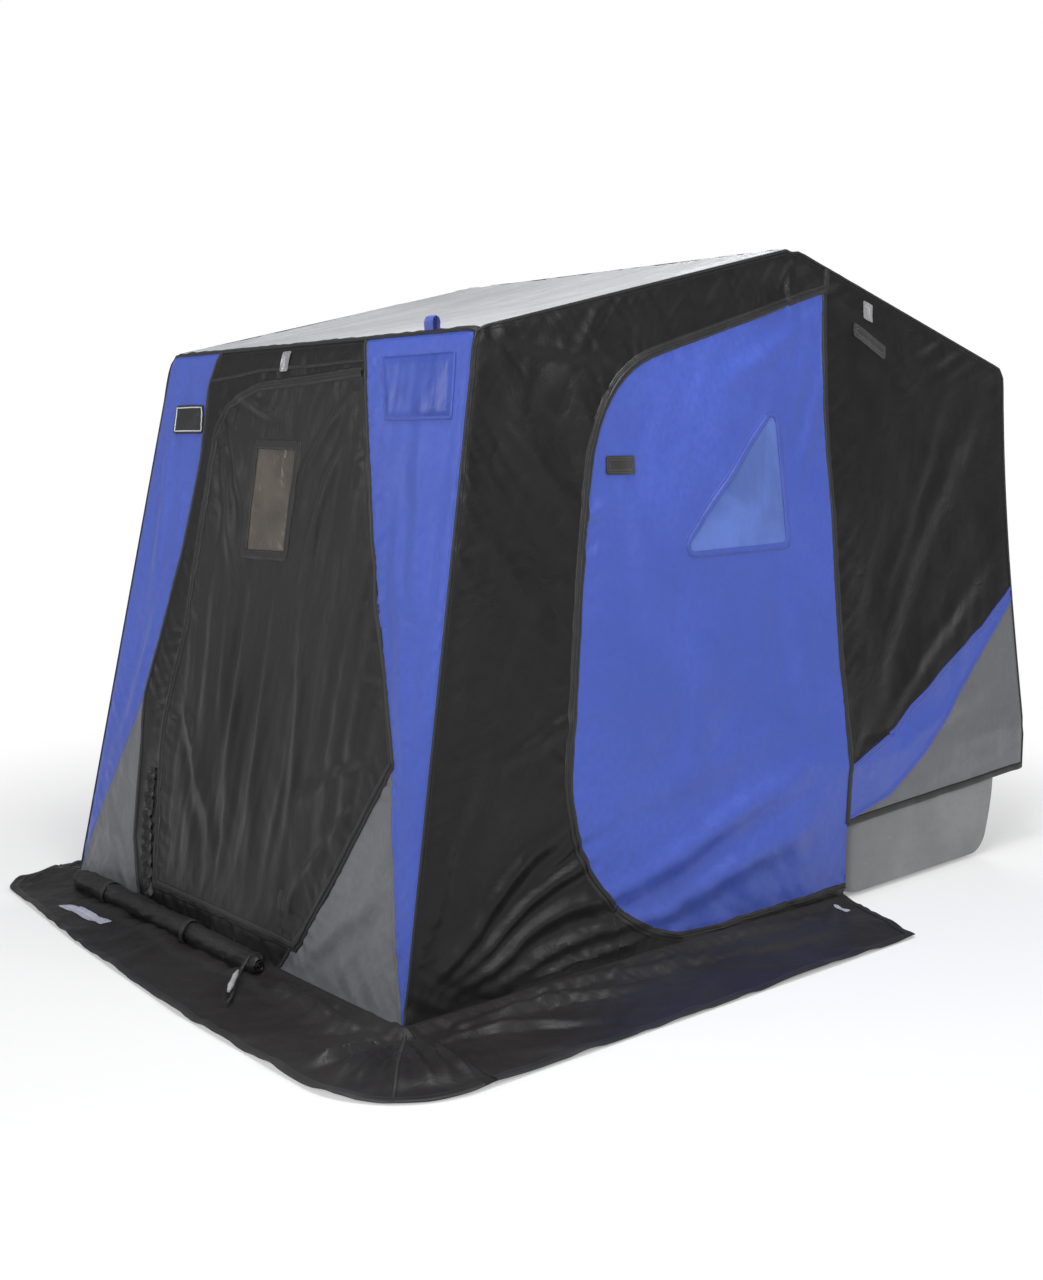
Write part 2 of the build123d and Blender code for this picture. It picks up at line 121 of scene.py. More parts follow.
def wall_half(y, z):
    """Half width of the canopy; the walls stay straight below the sled's rim."""
    y, z = np.asarray(y, float), np.asarray(z, float)
    near_sled = np.clip((y - FOOT[0]) / (SEAM_FOOT - FOOT[0]), 0, 1) ** 2
    base = lerp(FOOT_HALF, SLED_HALF, near_sled)
    straight_z = RIM[1] * near_sled
    height = np.clip((roof_z(y) - z) / (roof_z(y) - straight_z), 0, 1)
    return lerp(roof_half(y), base, height ** (1 + 0.5 * near_sled))


def front_y(z):
    """Y of the front wall."""
    return FOOT[0] + (BROW[0] - FOOT[0]) / BROW[1] * np.asarray(z, float)


def rear_y(z):
    """Y of the rear wall."""
    z = np.asarray(z)
    return np.where(z > RIM[1], lerp(RIM[0], TAIL[0], (z - RIM[1]) / (TAIL[1] - RIM[1])), RIM[0])


def seam_y(z):
    """Y of the seam behind the side doors."""
    return lerp(SEAM_FOOT, SEAM_TOP, z / float(roof_z(SEAM_TOP)))


# ---------------------------------------------------------------- fabric relief
spokes = np.random.default_rng(11).uniform(0, 2 * np.pi, (256, 256))


def noise(u, v=0.0, layer=0):
    """Smooth gradient noise of about -1 to 1 over two coordinates."""
    u = np.asarray(u, float) + 17.3 * layer
    v = np.zeros_like(u) + v + 51.7 * layer
    column, row = np.floor(u).astype(int), np.floor(v).astype(int)
    fu, fv = u - column, v - row

    def corner(i, j):
        angle = spokes[(column + i) & 255, (row + j) & 255]
        return np.cos(angle) * (fu - i) + np.sin(angle) * (fv - j)

    su, sv = (f ** 3 * (f * (f * 6 - 15) + 10) for f in (fu, fv))
    low = corner(0, 0) * (1 - su) + corner(1, 0) * su
    high = corner(0, 1) * (1 - su) + corner(1, 1) * su
    return 1.6 * (low * (1 - sv) + high * sv)


def crease(u, v, layer, soft=0.12):
    """Noise with narrow crests and wide hollows, as creased cloth has."""
    return 0.45 - np.sqrt(noise(u, v, layer) ** 2 + soft ** 2)


def nearest(p, line):
    """Distance to a line of points, distance along it, and the side of it."""
    start, run = line[:-1], line[1:] - line[:-1]
    length = np.hypot(run[:, 0], run[:, 1])
    away = p[:, None, :] - start[None]
    share = np.clip((away * run).sum(2) / np.maximum(length ** 2, 1e-12), 0, 1)
    gap = away - share[:, :, None] * run
    far = np.hypot(gap[:, :, 0], gap[:, :, 1])
    i, k = far.argmin(1), np.arange(len(p))
    before = np.concatenate([[0], np.cumsum(length)[:-1]])
    turn_way = run[i, 0] * away[k, i, 1] - run[i, 1] * away[k, i, 0]
    return far[k, i], before[i] + share[k, i] * length[i], np.sign(turn_way)


def pucker(p, line, size, depth, reach, layer, lean=0.5):
    """Short gathers beside a seam, drawn in by its stitching; none on the seam itself."""
    far, along, side = nearest(p, line)
    gather = noise(along / size + lean * far / size, 3.1 * side, layer)
    gather += 0.5 * noise(along / size * 2.3 - lean * far / size, 1.7 * side, layer + 1)
    strength = 0.55 + 0.6 * noise(along / 0.21, 0.5 * side, layer + 2)
    q = far / reach
    return depth * np.clip(strength, 0.1, 1.2) * gather * q * np.exp(1 - q)


def puckers(p, layer, *seams):
    """Gathers along several seams, each as a line, a size, a depth, a reach, a layer and a lean."""
    return sum(pucker(p, np.array(line, float), size, depth, reach, layer + more, *lean)
               for line, size, depth, reach, more, *lean in seams)


def drag(p, a, b, width, height, bow=0.0):
    """One soft fold from a to b, a crest with a hollow beside it."""
    a, run = np.array(a, float), np.array(b, float) - np.array(a, float)
    long = np.hypot(*run)
    along = (p - a) @ run / long ** 2
    across = ((p[:, 0] - a[0]) * run[1] - (p[:, 1] - a[1]) * run[0]) / long
    inside = np.clip(along, 0, 1)
    across = across + bow * long * 4 * inside * (1 - inside)
    across = across + 0.5 * width * noise(along * 3.5, a[0] * 9 + a[1] * 5, 4)
    q = across / (width * (0.7 + 0.6 * inside))
    fade = np.sin(np.pi * inside) ** 0.9
    return height * fade * (np.exp(-q * q) - 0.6 * np.exp(-((q - 1.5) / 1.3) ** 2))


def drags(p, folds, depth=1.0):
    """Several folds, each as both ends, a width, a height and a bow."""
    return sum(drag(p, fold[:2], fold[2:4], fold[4], depth * fold[5], fold[6]) for fold in folds)


def unit(v):
    return v / np.linalg.norm(v)


EDGES = []                  # canopy corners: both ends, and the way out between the walls
side_line = ((FOOT, FOOT_HALF), *BOWS, (RIM, SLED_HALF), (HEM, SLED_HALF))
side_ways = ((-1, 0.1), (-0.2, 1), (0.2, 1), (1, 0), (1, 0))
for sign in (-1, 1):
    for (here, here_half), (there, there_half), way in zip(side_line, side_line[1:], side_ways):
        EDGES.append(((sign * here_half, *here), (sign * there_half, *there), (sign, *way)))
for (corner, half), way in zip(BOWS, ((0, -1, 1), (0, 0, 1), (0, 1, 1))):
    EDGES.append(((-half, *corner), (half, *corner), way))


def round_edges(points, reach=0.045, depth=0.008):
    """Draw the canopy's corners in a little, as cloth pulled over a pole lies."""
    moved = points.copy()
    for start, end, way in EDGES:
        a, run = np.array(start), np.array(end) - np.array(start)
        share = np.clip((points - a) @ run / (run @ run), 0, 1)
        far = np.linalg.norm(points - a - share[:, None] * run, axis=1)
        pull = depth * np.clip(1 - far / reach, 0, 1) ** 2
        moved -= pull[:, None] * unit(np.array(way, float))
    return moved


def arc_corner(line, before, here, after, radius):
    """Add the points of a round corner to a line."""
    back, ahead = unit(before - here), unit(after - here)
    half = math.acos(float(np.clip(back @ ahead, -1, 1))) / 2
    centre = here + unit(back + ahead) * radius / math.sin(half)
    start, stop = (here + way * radius / math.tan(half) - centre for way in (back, ahead))
    first = math.atan2(start[1], start[0])
    sweep = (math.atan2(stop[1], stop[0]) - first + math.pi) % (2 * math.pi) - math.pi
    count = max(3, int(abs(sweep) * radius / 0.02))
    for f in np.linspace(0, 1, count + 1):
        angle = first + sweep * f
        line.append(centre + radius * np.array((math.cos(angle), math.sin(angle))))


def rounded(*corners):
    """Closed outline from (u, v), or (u, v, radius) where the corner is round."""
    line = []
    for i, corner in enumerate(corners):
        here = np.array(corner[:2], float)
        if len(corner) < 3:
            line.append(here)
            continue
        before = np.array(corners[i - 1][:2], float)
        after = np.array(corners[(i + 1) % len(corners)][:2], float)
        arc_corner(line, before, here, after, corner[2])
    return np.array(line)


def closed(line):
    return np.vstack([line, line[:1]])


def spaced(line, step):
    """The line again with points at most one step apart, its corners kept."""
    out = [line[0]]
    for a, b in zip(line, line[1:]):
        count = max(1, math.ceil(np.linalg.norm(b - a) / step))
        out += [lerp(a, b, (i + 1) / count) for i in range(count)]
    return np.array(out)


def run_length(line):
    """Distance along a line at each of its points."""
    return np.concatenate([[0], np.cumsum(np.linalg.norm(np.diff(line, axis=0), axis=1))])


def inside(p, loop):
    """Which points lie inside a closed outline."""
    a, b = loop, np.roll(loop, -1, axis=0)
    x, y = p[:, 0:1], p[:, 1:2]
    crosses = (a[:, 1] > y) != (b[:, 1] > y)
    at = a[:, 0] + (y - a[:, 1]) * (b[:, 0] - a[:, 0]) / (b[:, 1] - a[:, 1] + 1e-15)
    return (crosses & (x < at)).sum(1) % 2 == 1


def grown(loop, gap):
    """The outline moved outward."""
    ahead, back = np.roll(loop, -1, axis=0), np.roll(loop, 1, axis=0)
    way = ahead - back
    normal = np.stack([way[:, 1], -way[:, 0]], 1)
    normal /= np.linalg.norm(normal, axis=1)[:, None]
    x, y = loop.T
    if float(x @ np.roll(y, -1) - y @ np.roll(x, -1)) < 0:
        normal = -normal
    return loop + gap * normal


# ---------------------------------------------------------------- outlines
door_side = rounded((seam_y(0.047) - 0.0015, 0.047), (seam_y(1.915) - 0.0015, 1.915),
                    (-0.466, 1.626, 0.400), (-0.735, 0.012, 0.480))
window_side = rounded((0.290, 1.556, 0.025), (0.297, 1.128, 0.025), (-0.172, 1.118, 0.025))
flash_top = [(SEAM_FOOT, 0.425), (0.737, 0.512), (0.840, 0.575), (1.010, 0.661), (1.310, 0.790),
             (1.530, 0.945)]
flash_low = [(SEAM_FOOT, 0.262), (0.681, 0.309), (0.871, 0.417), (1.091, 0.580), (1.256, 0.687),
             (1.540, 0.905)]
door_front = rounded((0.334, 1.636), (0.704, 0.630), (0.526, 0.286), (0.412, 0.095),
                     (-0.395, 0.095), (-0.487, 0.560, 0.5), (-0.431, 0.860, 0.4),
                     (-0.425, 1.550, 0.15), (-0.192, 1.612, 0.3))
window_front = rounded((-0.161, 1.436), (0.053, 1.432), (0.056, 1.128), (-0.148, 1.124))
strip_in_right = [(0.314, BROW[1]), (0.543, 1.031), (0.708, 0.625), (0.830, 0.212)]
strip_in_left = [(-0.830, 0.212), (-0.630, 0.650), (-0.579, 0.826), (-0.517, 1.120),
                 (-0.490, 1.400), (-0.506, 1.618), (-0.465, BROW[1])]
levels = [0.0, 0.25, 0.5, 0.75, 1.0, 1.25, 1.5, BROW[1]]
edge_up = [(float(wall_half(front_y(z), z)), z) for z in levels]    # the front wall's outer edge
strip_right = np.array(strip_in_right + edge_up)
strip_left = np.array([(-x, z) for x, z in reversed(edge_up)] + strip_in_left)
gusset_right = np.array([(0.708, 0.625), (0.830, 0.212), edge_up[0], (0.330, 0.0),
                         (0.528, 0.282)])
gusset_left = np.array([(-0.630, 0.650), (-0.830, 0.212), (-FOOT_HALF, 0.0), (-0.470, 0.0),
                        (-0.566, 0.199)])
seam_line = np.array([(seam_y(z), z) for z in np.linspace(0, float(roof_z(SEAM_TOP)), 20)])
corner_line = np.array([(float(front_y(z)), z) for z in levels])
roof_line = np.array([BROW, RIDGE, TAIL])


# ---------------------------------------------------------------- surfaces
class Surface:
    """A wall of the canopy: its plain place, the way out of it and the relief of its cloth."""

    def __init__(self, plain, way, relief, depth=1.0, drawn_in=True):
        self.plain, self.way = plain, np.array(way, float)
        self.relief = lambda p: depth * relief(p)
        self.drawn_in = drawn_in

    def place(self, p, lift=0.0):
        points = self.plain(p) + self.way * (self.relief(p) + lift)[:, None]
        return round_edges(points) if self.drawn_in else points


def side_relief(p, layer):
    """Soft waves and seam gathers of a side wall, over (Y, Z)."""
    y, z = p.T
    to_edges = np.minimum.reduce([
        nearest(p, corner_line)[0], nearest(p, roof_line)[0],
        nearest(p, np.array([TAIL, RIM, HEM]))[0]])
    free = ease(to_edges / 0.12)
    low = ease((0.5 - z) / 0.5) * ease((0.42 - y) / 0.2)
    height = -0.004 * free
    height += free * 0.007 * noise(y / 0.55, z / 0.75, layer)
    height += free * 0.0042 * noise((y + 0.35 * z) / 0.17, (z - 0.3 * y) / 0.5, layer + 1)
    height += free * 0.0018 * crease((y - 0.5 * z) / 0.11, (z + 0.4 * y) / 0.35, layer + 2, 0.06)
    height += free * 0.0011 * crease((y + 0.9 * z) / 0.16, (z - 0.9 * y) / 0.40, layer + 4, 0.05)
    height += free * low * 0.006 * noise((y + 0.8 * z) / 0.10, (z - 0.8 * y) / 0.33, layer + 3)
    height += puckers(
        p, layer, (closed(door_side)[1:], 0.030, 0.0030, 0.030, 5),
        (corner_line, 0.040, 0.0036, 0.045, 8, 1.0), (roof_line, 0.045, 0.0028, 0.050, 11, 1.2),
        (seam_line, 0.035, 0.0028, 0.035, 14, -0.8), (closed(window_side), 0.022, 0.0016, 0.020, 17),
        (flash_top, 0.032, 0.0016, 0.030, 20), ([FOOT, (SEAM_FOOT, 0)], 0.050, 0.004, 0.05, 23, 1.5))
    folds = [
        (-0.62, 0.13, 0.44, 0.47, 0.04, 0.014, 0.03), (-0.4, 0.08, 0.42, 0.3, 0.034, 0.009, 0.02),
        (-0.55, 0.42, 0.3, 0.56, 0.05, 0.005, 0.02), (-0.1, 0.98, -0.22, 0.3, 0.05, 0.006, 0.02),
        (0.28, 1.02, 0.34, 0.5, 0.045, 0.006, -0.02), (0.54, 1.86, -0.05, 1.58, 0.03, 0.006, 0.03),
        (0.54, 1.66, 0.33, 1.3, 0.028, 0.005, 0.03), (-0.42, 1.52, -0.28, 0.95, 0.04, 0.005, 0.02),
        (-1.19, 0.05, -0.6, 0.47, 0.026, 0.012, 0.03), (-1.18, 0.04, -0.5, 0.36, 0.018, 0.01, 0.02),
        (-1.17, 0.03, -0.42, 0.24, 0.022, 0.013, 0.03), (-1.16, 0.02, -0.2, 0.12, 0.018, 0.01, 0.03),
        (-1.12, 0.02, -0.05, 0.05, 0.014, 0.008, 0.02), (-1.2, 0.12, -0.98, 0.62, 0.02, 0.005, -0.02),
        (-0.88, 0.6, -0.5, 0.74, 0.024, 0.005, 0.02), (-0.8, 0.28, -0.52, 0.42, 0.014, 0.006, 0.01),
        (-0.92, 1.62, -0.55, 1.2, 0.03, 0.006, 0.03), (-0.84, 1.72, -0.35, 1.68, 0.024, 0.005, -0.02),
        (-0.95, 1.3, -0.66, 0.85, 0.03, 0.006, 0.02), (0.58, 0.55, 1.5, 1.62, 0.05, 0.007, 0.04),
        (0.6, 0.62, 1.3, 1.7, 0.035, 0.004, 0.03), (0.56, 1.9, 1.45, 1.3, 0.045, 0.005, 0.05),
        (0.62, 0.5, 1.49, 1.06, 0.03, 0.005, 0.02), (0.5, 0.35, 1.45, 0.62, 0.03, 0.006, 0.03),
        (0.7, 0.3, 1.47, 0.36, 0.026, 0.004, 0.01)]
    height += free * drags(p, folds, 0.75)
    over_rim = np.exp(-((z - RIM[1]) / 0.03) ** 2) * ease((y - 0.40) / 0.08)
    height += 0.003 * over_rim * (0.6 + 0.6 * noise(y / 0.2, 0.0, layer + 31))
    height *= SIDE_DEPTH
    # The cloth can't sag into the sled or into the bows, whose poles reach out this far.
    room = np.where((y > 0.40) & (z < 0.50), 0.006, 0.060)
    for corner, leg in ((BROW, 0.766), (RIDGE, 0.738), (TAIL, 0.710)):
        from_pole = nearest(p, np.array([PIVOT[1:], corner]))[0]
        beside = wall_half(y, z) - leg - 0.025 + 0.9 * np.maximum(from_pole - 0.02, 0)
        room = np.minimum(room, np.maximum(beside, 0.002))
    return np.maximum(height, -room)


def side_surface(sign, layer):
    return Surface(lambda p: np.stack([sign * wall_half(*p.T), p[:, 0], p[:, 1]], 1),
                   (sign, 0, 0), lambda p: side_relief(p, layer))


def front_relief(p):
    """Cloth of the front wall over (X, Z): a loosely hung door between taut strips."""
    x, z = p.T
    to_edge = np.minimum(wall_half(front_y(z), z) - np.abs(x), BROW[1] - z)
    free = ease(to_edge / 0.09)
    in_door = ease(0.5 + np.where(inside(p, door_front), 1, -1)
                   * nearest(p, closed(door_front))[0] / 0.09)
    height = free * 0.006 * noise(x / 0.35, z / 0.9, 41)
    height += free * (1 - in_door) * 0.0026 * noise(x / 0.085, z / 0.7, 42)
    height += free * (1 - in_door) * 0.0016 * crease(x / 0.06, (z + 0.6 * x) / 0.25, 43)
    lean = x + 0.10 * (1.6 - z) * np.sign(x + 0.05) * 0.6 + 0.018 * noise(x / 0.2, z / 0.35, 44)
    hang = ease((1.62 - z) / 0.5) * (0.45 + 0.55 * ease((z - 0.08) / 0.25))
    near_window = np.exp(-((x + 0.05) / 0.15) ** 2 - ((z - 1.28) / 0.20) ** 2)
    pleat = 0.0062 * noise(lean / 0.075, z / 1.1, 45) + 0.0022 * noise(lean / 0.030, z / 0.5, 46)
    height += in_door * hang * (1 - 0.75 * near_window) * pleat
    height += in_door * 0.0020 * crease((x + 0.5 * z) / 0.09, (z - 0.4 * x) / 0.2, 47)
    folds = [
        (-0.4, 1.58, -0.16, 1.2, 0.024, 0.01, 0.03), (-0.41, 1.5, -0.2, 1.02, 0.026, 0.01, 0.04),
        (-0.38, 1.6, -0.02, 1.5, 0.018, 0.006, 0.03), (0.31, 1.6, 0.08, 1.3, 0.022, 0.008, -0.03),
        (0.33, 1.56, 0.16, 0.95, 0.026, 0.009, -0.04), (-0.43, 0.7, -0.05, 0.14, 0.03, 0.01, 0.05),
        (0.6, 0.5, 0.3, 0.12, 0.026, 0.01, -0.05), (0.66, 0.62, 0.25, 0.42, 0.024, 0.007, -0.04),
        (-0.1, 1.05, -0.08, 0.25, 0.028, 0.012, 0.02), (0.06, 1.08, 0.12, 0.2, 0.026, 0.01, -0.02),
        (0.2, 0.95, 0.3, 0.3, 0.024, 0.009, 0.02), (0.6, 1.6, 0.7, 0.95, 0.03, 0.007, 0.02),
        (0.56, 1.35, 0.8, 0.55, 0.028, 0.007, -0.02), (-0.72, 1.55, -0.68, 0.9, 0.028, 0.006, 0.02),
        (-0.6, 1.05, -0.8, 0.4, 0.026, 0.006, 0.02), (0.45, 0.04, 0.8, 0.34, 0.026, 0.008, 0.05),
        (0.6, 0.02, 0.74, 0.5, 0.026, 0.007, -0.04), (-0.55, 0.04, -0.8, 0.3, 0.024, 0.007, 0.04)]
    height += free * drags(p, folds)
    edge = np.array(edge_up)
    height += puckers(
        p, 0, (closed(door_front), 0.028, 0.0045, 0.028, 51),
        (closed(window_front), 0.020, 0.0018, 0.018, 54), (edge * (-1, 1), 0.036, 0.0026, 0.035, 56, 1.0),
        (edge, 0.036, 0.0026, 0.035, 58, 1.0), (strip_in_right, 0.030, 0.0030, 0.028, 61),
        (strip_in_left, 0.030, 0.0030, 0.028, 64), (gusset_right[3:], 0.026, 0.0050, 0.030, 67),
        ([(-0.9, 0), (0.9, 0)], 0.050, 0.006, 0.05, 73, 1.0))
    return height


front_wall = Surface(lambda p: np.stack([p[:, 0], front_y(p[:, 1]), p[:, 1]], 1),
                     unit(np.array((0, -BROW[1], BROW[0] - FOOT[0]))), front_relief, 1.2)


def roof_relief(p):
    """Roof cloth over (X, Y): it sags between the bows, with long pulls down the slope."""
    x, y = p.T
    across = ease((roof_half(y) - np.abs(x)) / 0.30)
    bay = np.where(y < RIDGE[0], (y - BROW[0]) / (RIDGE[0] - BROW[0]),
                   (y - RIDGE[0]) / (TAIL[0] - RIDGE[0]))
    between = np.sin(np.pi * np.clip(bay, 0, 1))
    near = ease((roof_half(y) - np.abs(x)) / 0.05) * ease(between / 0.12)
    height = -0.020 * across * between
    height += near * 0.0030 * noise((x + 0.05 * y) / 0.055, y / 0.9, 81)
    height += near * 0.0036 * noise(x / 0.16, y / 0.6, 82)
    height += near * 0.0012 * crease(x / 0.05, y / 0.25, 83)
    eaves = [([(way * half, y_bow) for (y_bow, _), half in BOWS], 0.050, 0.0040, 0.06, 85 + way, 1.0)
             for way in (-1, 1)]
    bows = [([(-half, y_bow), (half, y_bow)], 0.045, 0.0040, 0.07, 90, 0.4)
            for (y_bow, _), half in BOWS]
    return height + puckers(p, 0, *eaves, *bows)


roof = Surface(lambda p: np.stack([p[:, 0], p[:, 1], roof_z(p[:, 1])], 1), (0, 0, 1), roof_relief)


def rear_relief(p):
    """Rear wall over (X, Z), stretched from the rear bow down over the sled's rim."""
    x, z = p.T
    free = ease(np.minimum(wall_half(rear_y(z), z) - np.abs(x), TAIL[1] - z) / 0.10)
    height = free * 0.010 * noise(x / 0.5, z / 0.6, 101) - 0.010 * free * ease((z - 0.45) / 0.3)
    height += free * 0.005 * noise((x + 0.2 * z) / 0.12, z / 0.6, 102)
    height += free * 0.0018 * crease((x + 0.4 * z) / 0.10, (z - 0.4 * x) / 0.3, 103)
    folds = [
        (-0.74, 1.6, -0.1, 1.05, 0.04, 0.009, 0.04), (0.74, 1.62, 0.2, 1, 0.04, 0.009, -0.04),
        (-0.9, 0.55, -0.3, 1.1, 0.04, 0.008, 0.03), (0.92, 0.5, 0.35, 1.05, 0.04, 0.008, -0.03),
        (-0.3, 0.8, 0.35, 0.86, 0.04, 0.006, 0.02), (-0.8, 0.46, 0.1, 0.66, 0.03, 0.007, 0.03),
        (0.86, 0.46, 0.15, 0.58, 0.03, 0.007, -0.02)]
    height += free * drags(p, folds)
    edge = np.array([(float(wall_half(rear_y(z), z)), z) for z in (TAIL[1], 1.0, RIM[1])])
    height += puckers(p, 0, ([(-0.85, 0.93), (0.85, 0.93)], 0.035, 0.0030, 0.030, 105),
                      ([(-0.97, 0.43), (0.97, 0.43)], 0.050, 0.0040, 0.050, 108, 0.6),
                      (edge * (-1, 1), 0.040, 0.0034, 0.045, 110, 1.0),
                      (edge, 0.040, 0.0034, 0.045, 112, 1.0))
    return np.maximum(1.5 * height, np.where(p[:, 1] < 0.50, -0.005, -0.040))


rear_wall = Surface(lambda p: np.stack([p[:, 0], rear_y(p[:, 1]), p[:, 1]], 1), (0, 1, 0),
                    rear_relief)

wall_foot = np.array([(-FOOT_HALF, FOOT[0]), (FOOT_HALF, FOOT[0])])
foot_right = np.array([(float(wall_half(y, 0)), y) for y in np.linspace(FOOT[0], SEAM_FOOT, 16)])
skirt_outer = rounded((-1.045, -1.237), (-1.010, -1.452, 0.13), (-0.300, -1.526, 0.9),
                      (0.400, -1.571, 0.9), (1.275, -1.571, 0.3), (1.275, -1.237))
spread = [(1.275, -1.236), (1.319, 0.328), (1.040, 0.442), (0.980, 0.442)]
tucked = [(1.045, -1.236), (1.070, -1.111), (1.278, -0.830), *spread[1:]]


def skirt_relief(p):
    """Height of the skirt over the ice, over (X, Y): it lies in shallow buckles."""
    x, y = p.T
    to_foot = np.minimum.reduce([nearest(p, wall_foot)[0], nearest(p, foot_right)[0],
                                 nearest(p, foot_right * (-1, 1))[0]])
    rise = 0.022 * (1 - ease(to_foot / 0.055))
    loose = ease(to_foot / 0.06)
    ahead, aside = FOOT[0] - y, np.abs(x) - FOOT_HALF
    out, reach = np.arctan2(ahead, aside), np.hypot(ahead, aside)
    corner = ease((0.55 - reach) / 0.35) * ease(-(y + 1.20) / 0.05) * ease((np.abs(x) - 0.86) / 0.06)
    height = 0.006 * np.abs(noise(x / 0.22, y / 0.30, 121)) * loose
    height += 0.010 * np.clip(noise((x + 0.5 * y) / 0.11, (y - 0.5 * x) / 0.42, 122), 0, 1) * loose
    height += 0.008 * np.clip(noise((x - 0.7 * y) / 0.09, (y + 0.7 * x) / 0.30, 123), 0, 1) * loose
    side_hem = np.array(spread[:3])
    to_hem = np.minimum.reduce([nearest(p, skirt_outer[:-1])[0], nearest(p, side_hem)[0],
                                nearest(p, side_hem * (-1, 1))[0]])
    lying = ease((to_hem - 0.010) / 0.12)
    height += 0.042 * corner * ease(reach / 0.20) * lying * np.clip(
        crease(out / 0.26, reach / 0.7, 124, 0.05) + 0.15, 0, 1)
    height += 0.014 * corner * lying * (0.5 + 0.5 * noise(out / 0.35, reach / 0.5, 126))
    folds = [
        (0.34, -1.285, 0.92, -1.305, 0.036, 0.03, -0.03), (0.05, -1.345, 0.9, -1.4, 0.034, 0.016, 0.04),
        (-0.7, -1.345, 0.2, -1.37, 0.03, 0.01, 0.03), (0.93, -1.19, 1.01, -0.35, 0.03, 0.03, 0.03),
        (0.98, -1.225, 1.1, -0.5, 0.03, 0.026, 0.04), (1, -1.245, 1.19, -0.75, 0.028, 0.022, 0.03),
        (0.99, -0.7, 1.16, 0.05, 0.034, 0.018, 0.04), (0.96, -0.45, 1.05, 0.3, 0.026, 0.018, 0.03),
        (1.1, -0.2, 1.2, 0.3, 0.03, 0.01, 0.02), (-0.94, -1.19, -1, -0.55, 0.028, 0.022, -0.03),
        (-0.95, -1.25, -1, -1.4, 0.026, 0.016, 0.02), (-0.98, -0.75, -1.16, 0, 0.032, 0.016, -0.03)]
    for fold in folds:
        height += loose * lying * np.maximum(drags(p, [fold]), 0)
    for line, layer, lean in ((foot_right, 125, 1.2), (foot_right * (-1, 1), 128, 1.2),
                              (wall_foot, 131, 0.8)):
        height += 0.010 * np.clip(pucker(p, line, 0.05, 1.0, 0.06, layer, lean), -0.4, 1)
    return 0.0045 + rise + np.clip(height, 0, 0.042)


skirt = Surface(lambda p: np.stack([p[:, 0], p[:, 1], np.zeros(len(p))], 1), (0, 0, 1),
                skirt_relief, drawn_in=False)


# ---------------------------------------------------------------- materials
class Paint:
    """A material's node tree with short calls for its nodes."""

    def __init__(self, name):
        self.material = bpy.data.materials.new(name)
        self.material.use_nodes = True
        self.tree = self.material.node_tree
        self.shader = self.tree.nodes["Principled BSDF"]
        self.object = self.node("ShaderNodeTexCoord").outputs["Object"]

    def node(self, kind, inputs=(), **settings):
        made = self.tree.nodes.new(kind)
        for key, value in settings.items():
            setattr(made, key, value)
        for key, value in dict(inputs).items():
            self.feed(made.inputs[key], value)
        return made

    def feed(self, socket, value):
        if isinstance(value, bpy.types.NodeSocket):
            self.tree.links.new(value, socket)
        else:
            socket.default_value = value

    def math(self, operation, a, b=0.0, c=0.0):
        made = self.node("ShaderNodeMath", {0: a, 1: b, 2: c}, operation=operation)
        return made.outputs[0]

    def span(self, value, low, high, to_low, to_high):
        """Smooth step of a value from one range into another."""
        inputs = {"Value": value, "From Min": low, "From Max": high,
                  "To Min": to_low, "To Max": to_high}
        made = self.node("ShaderNodeMapRange", inputs, interpolation_type="SMOOTHSTEP")
        return made.outputs["Result"]

    def grain(self, scale, detail=3.0, twist=0.0, stretch=(1, 1, 1), rough=0.5):
        place = self.node("ShaderNodeMapping", {"Vector": self.object, "Scale": stretch})
        inputs = {"Vector": place.outputs[0], "Scale": scale, "Detail": detail,
                  "Distortion": twist, "Roughness": rough}
        return self.node("ShaderNodeTexNoise", inputs).outputs["Fac"]

    def mix(self, factor, a, b):
        made = self.node("ShaderNodeMix", data_type="RGBA")
        self.feed(made.inputs["Factor"], factor)
        self.feed(made.inputs[6], a)
        self.feed(made.inputs[7], b)
        return made.outputs[2]

    def bump(self, height, strength, distance, below=None):
        inputs = {"Height": height, "Strength": strength, "Distance": distance}
        if below is not None:
            inputs["Normal"] = below
        return self.node("ShaderNodeBump", inputs).outputs["Normal"]

    def attribute(self, name):
        return self.node("ShaderNodeAttribute", attribute_name=name).outputs["Fac"]

    def finish(self, colour, roughness, normal, **values):
        self.feed(self.shader.inputs["Base Color"], colour)
        self.feed(self.shader.inputs["Roughness"], roughness)
        self.feed(self.shader.inputs["Normal"], normal)
        for key, value in values.items():
            self.shader.inputs[key.replace("_", " ")].default_value = value
        return self.material


def tint(colour, factor):
    return (*(min(1.0, c * factor) for c in colour), 1.0)


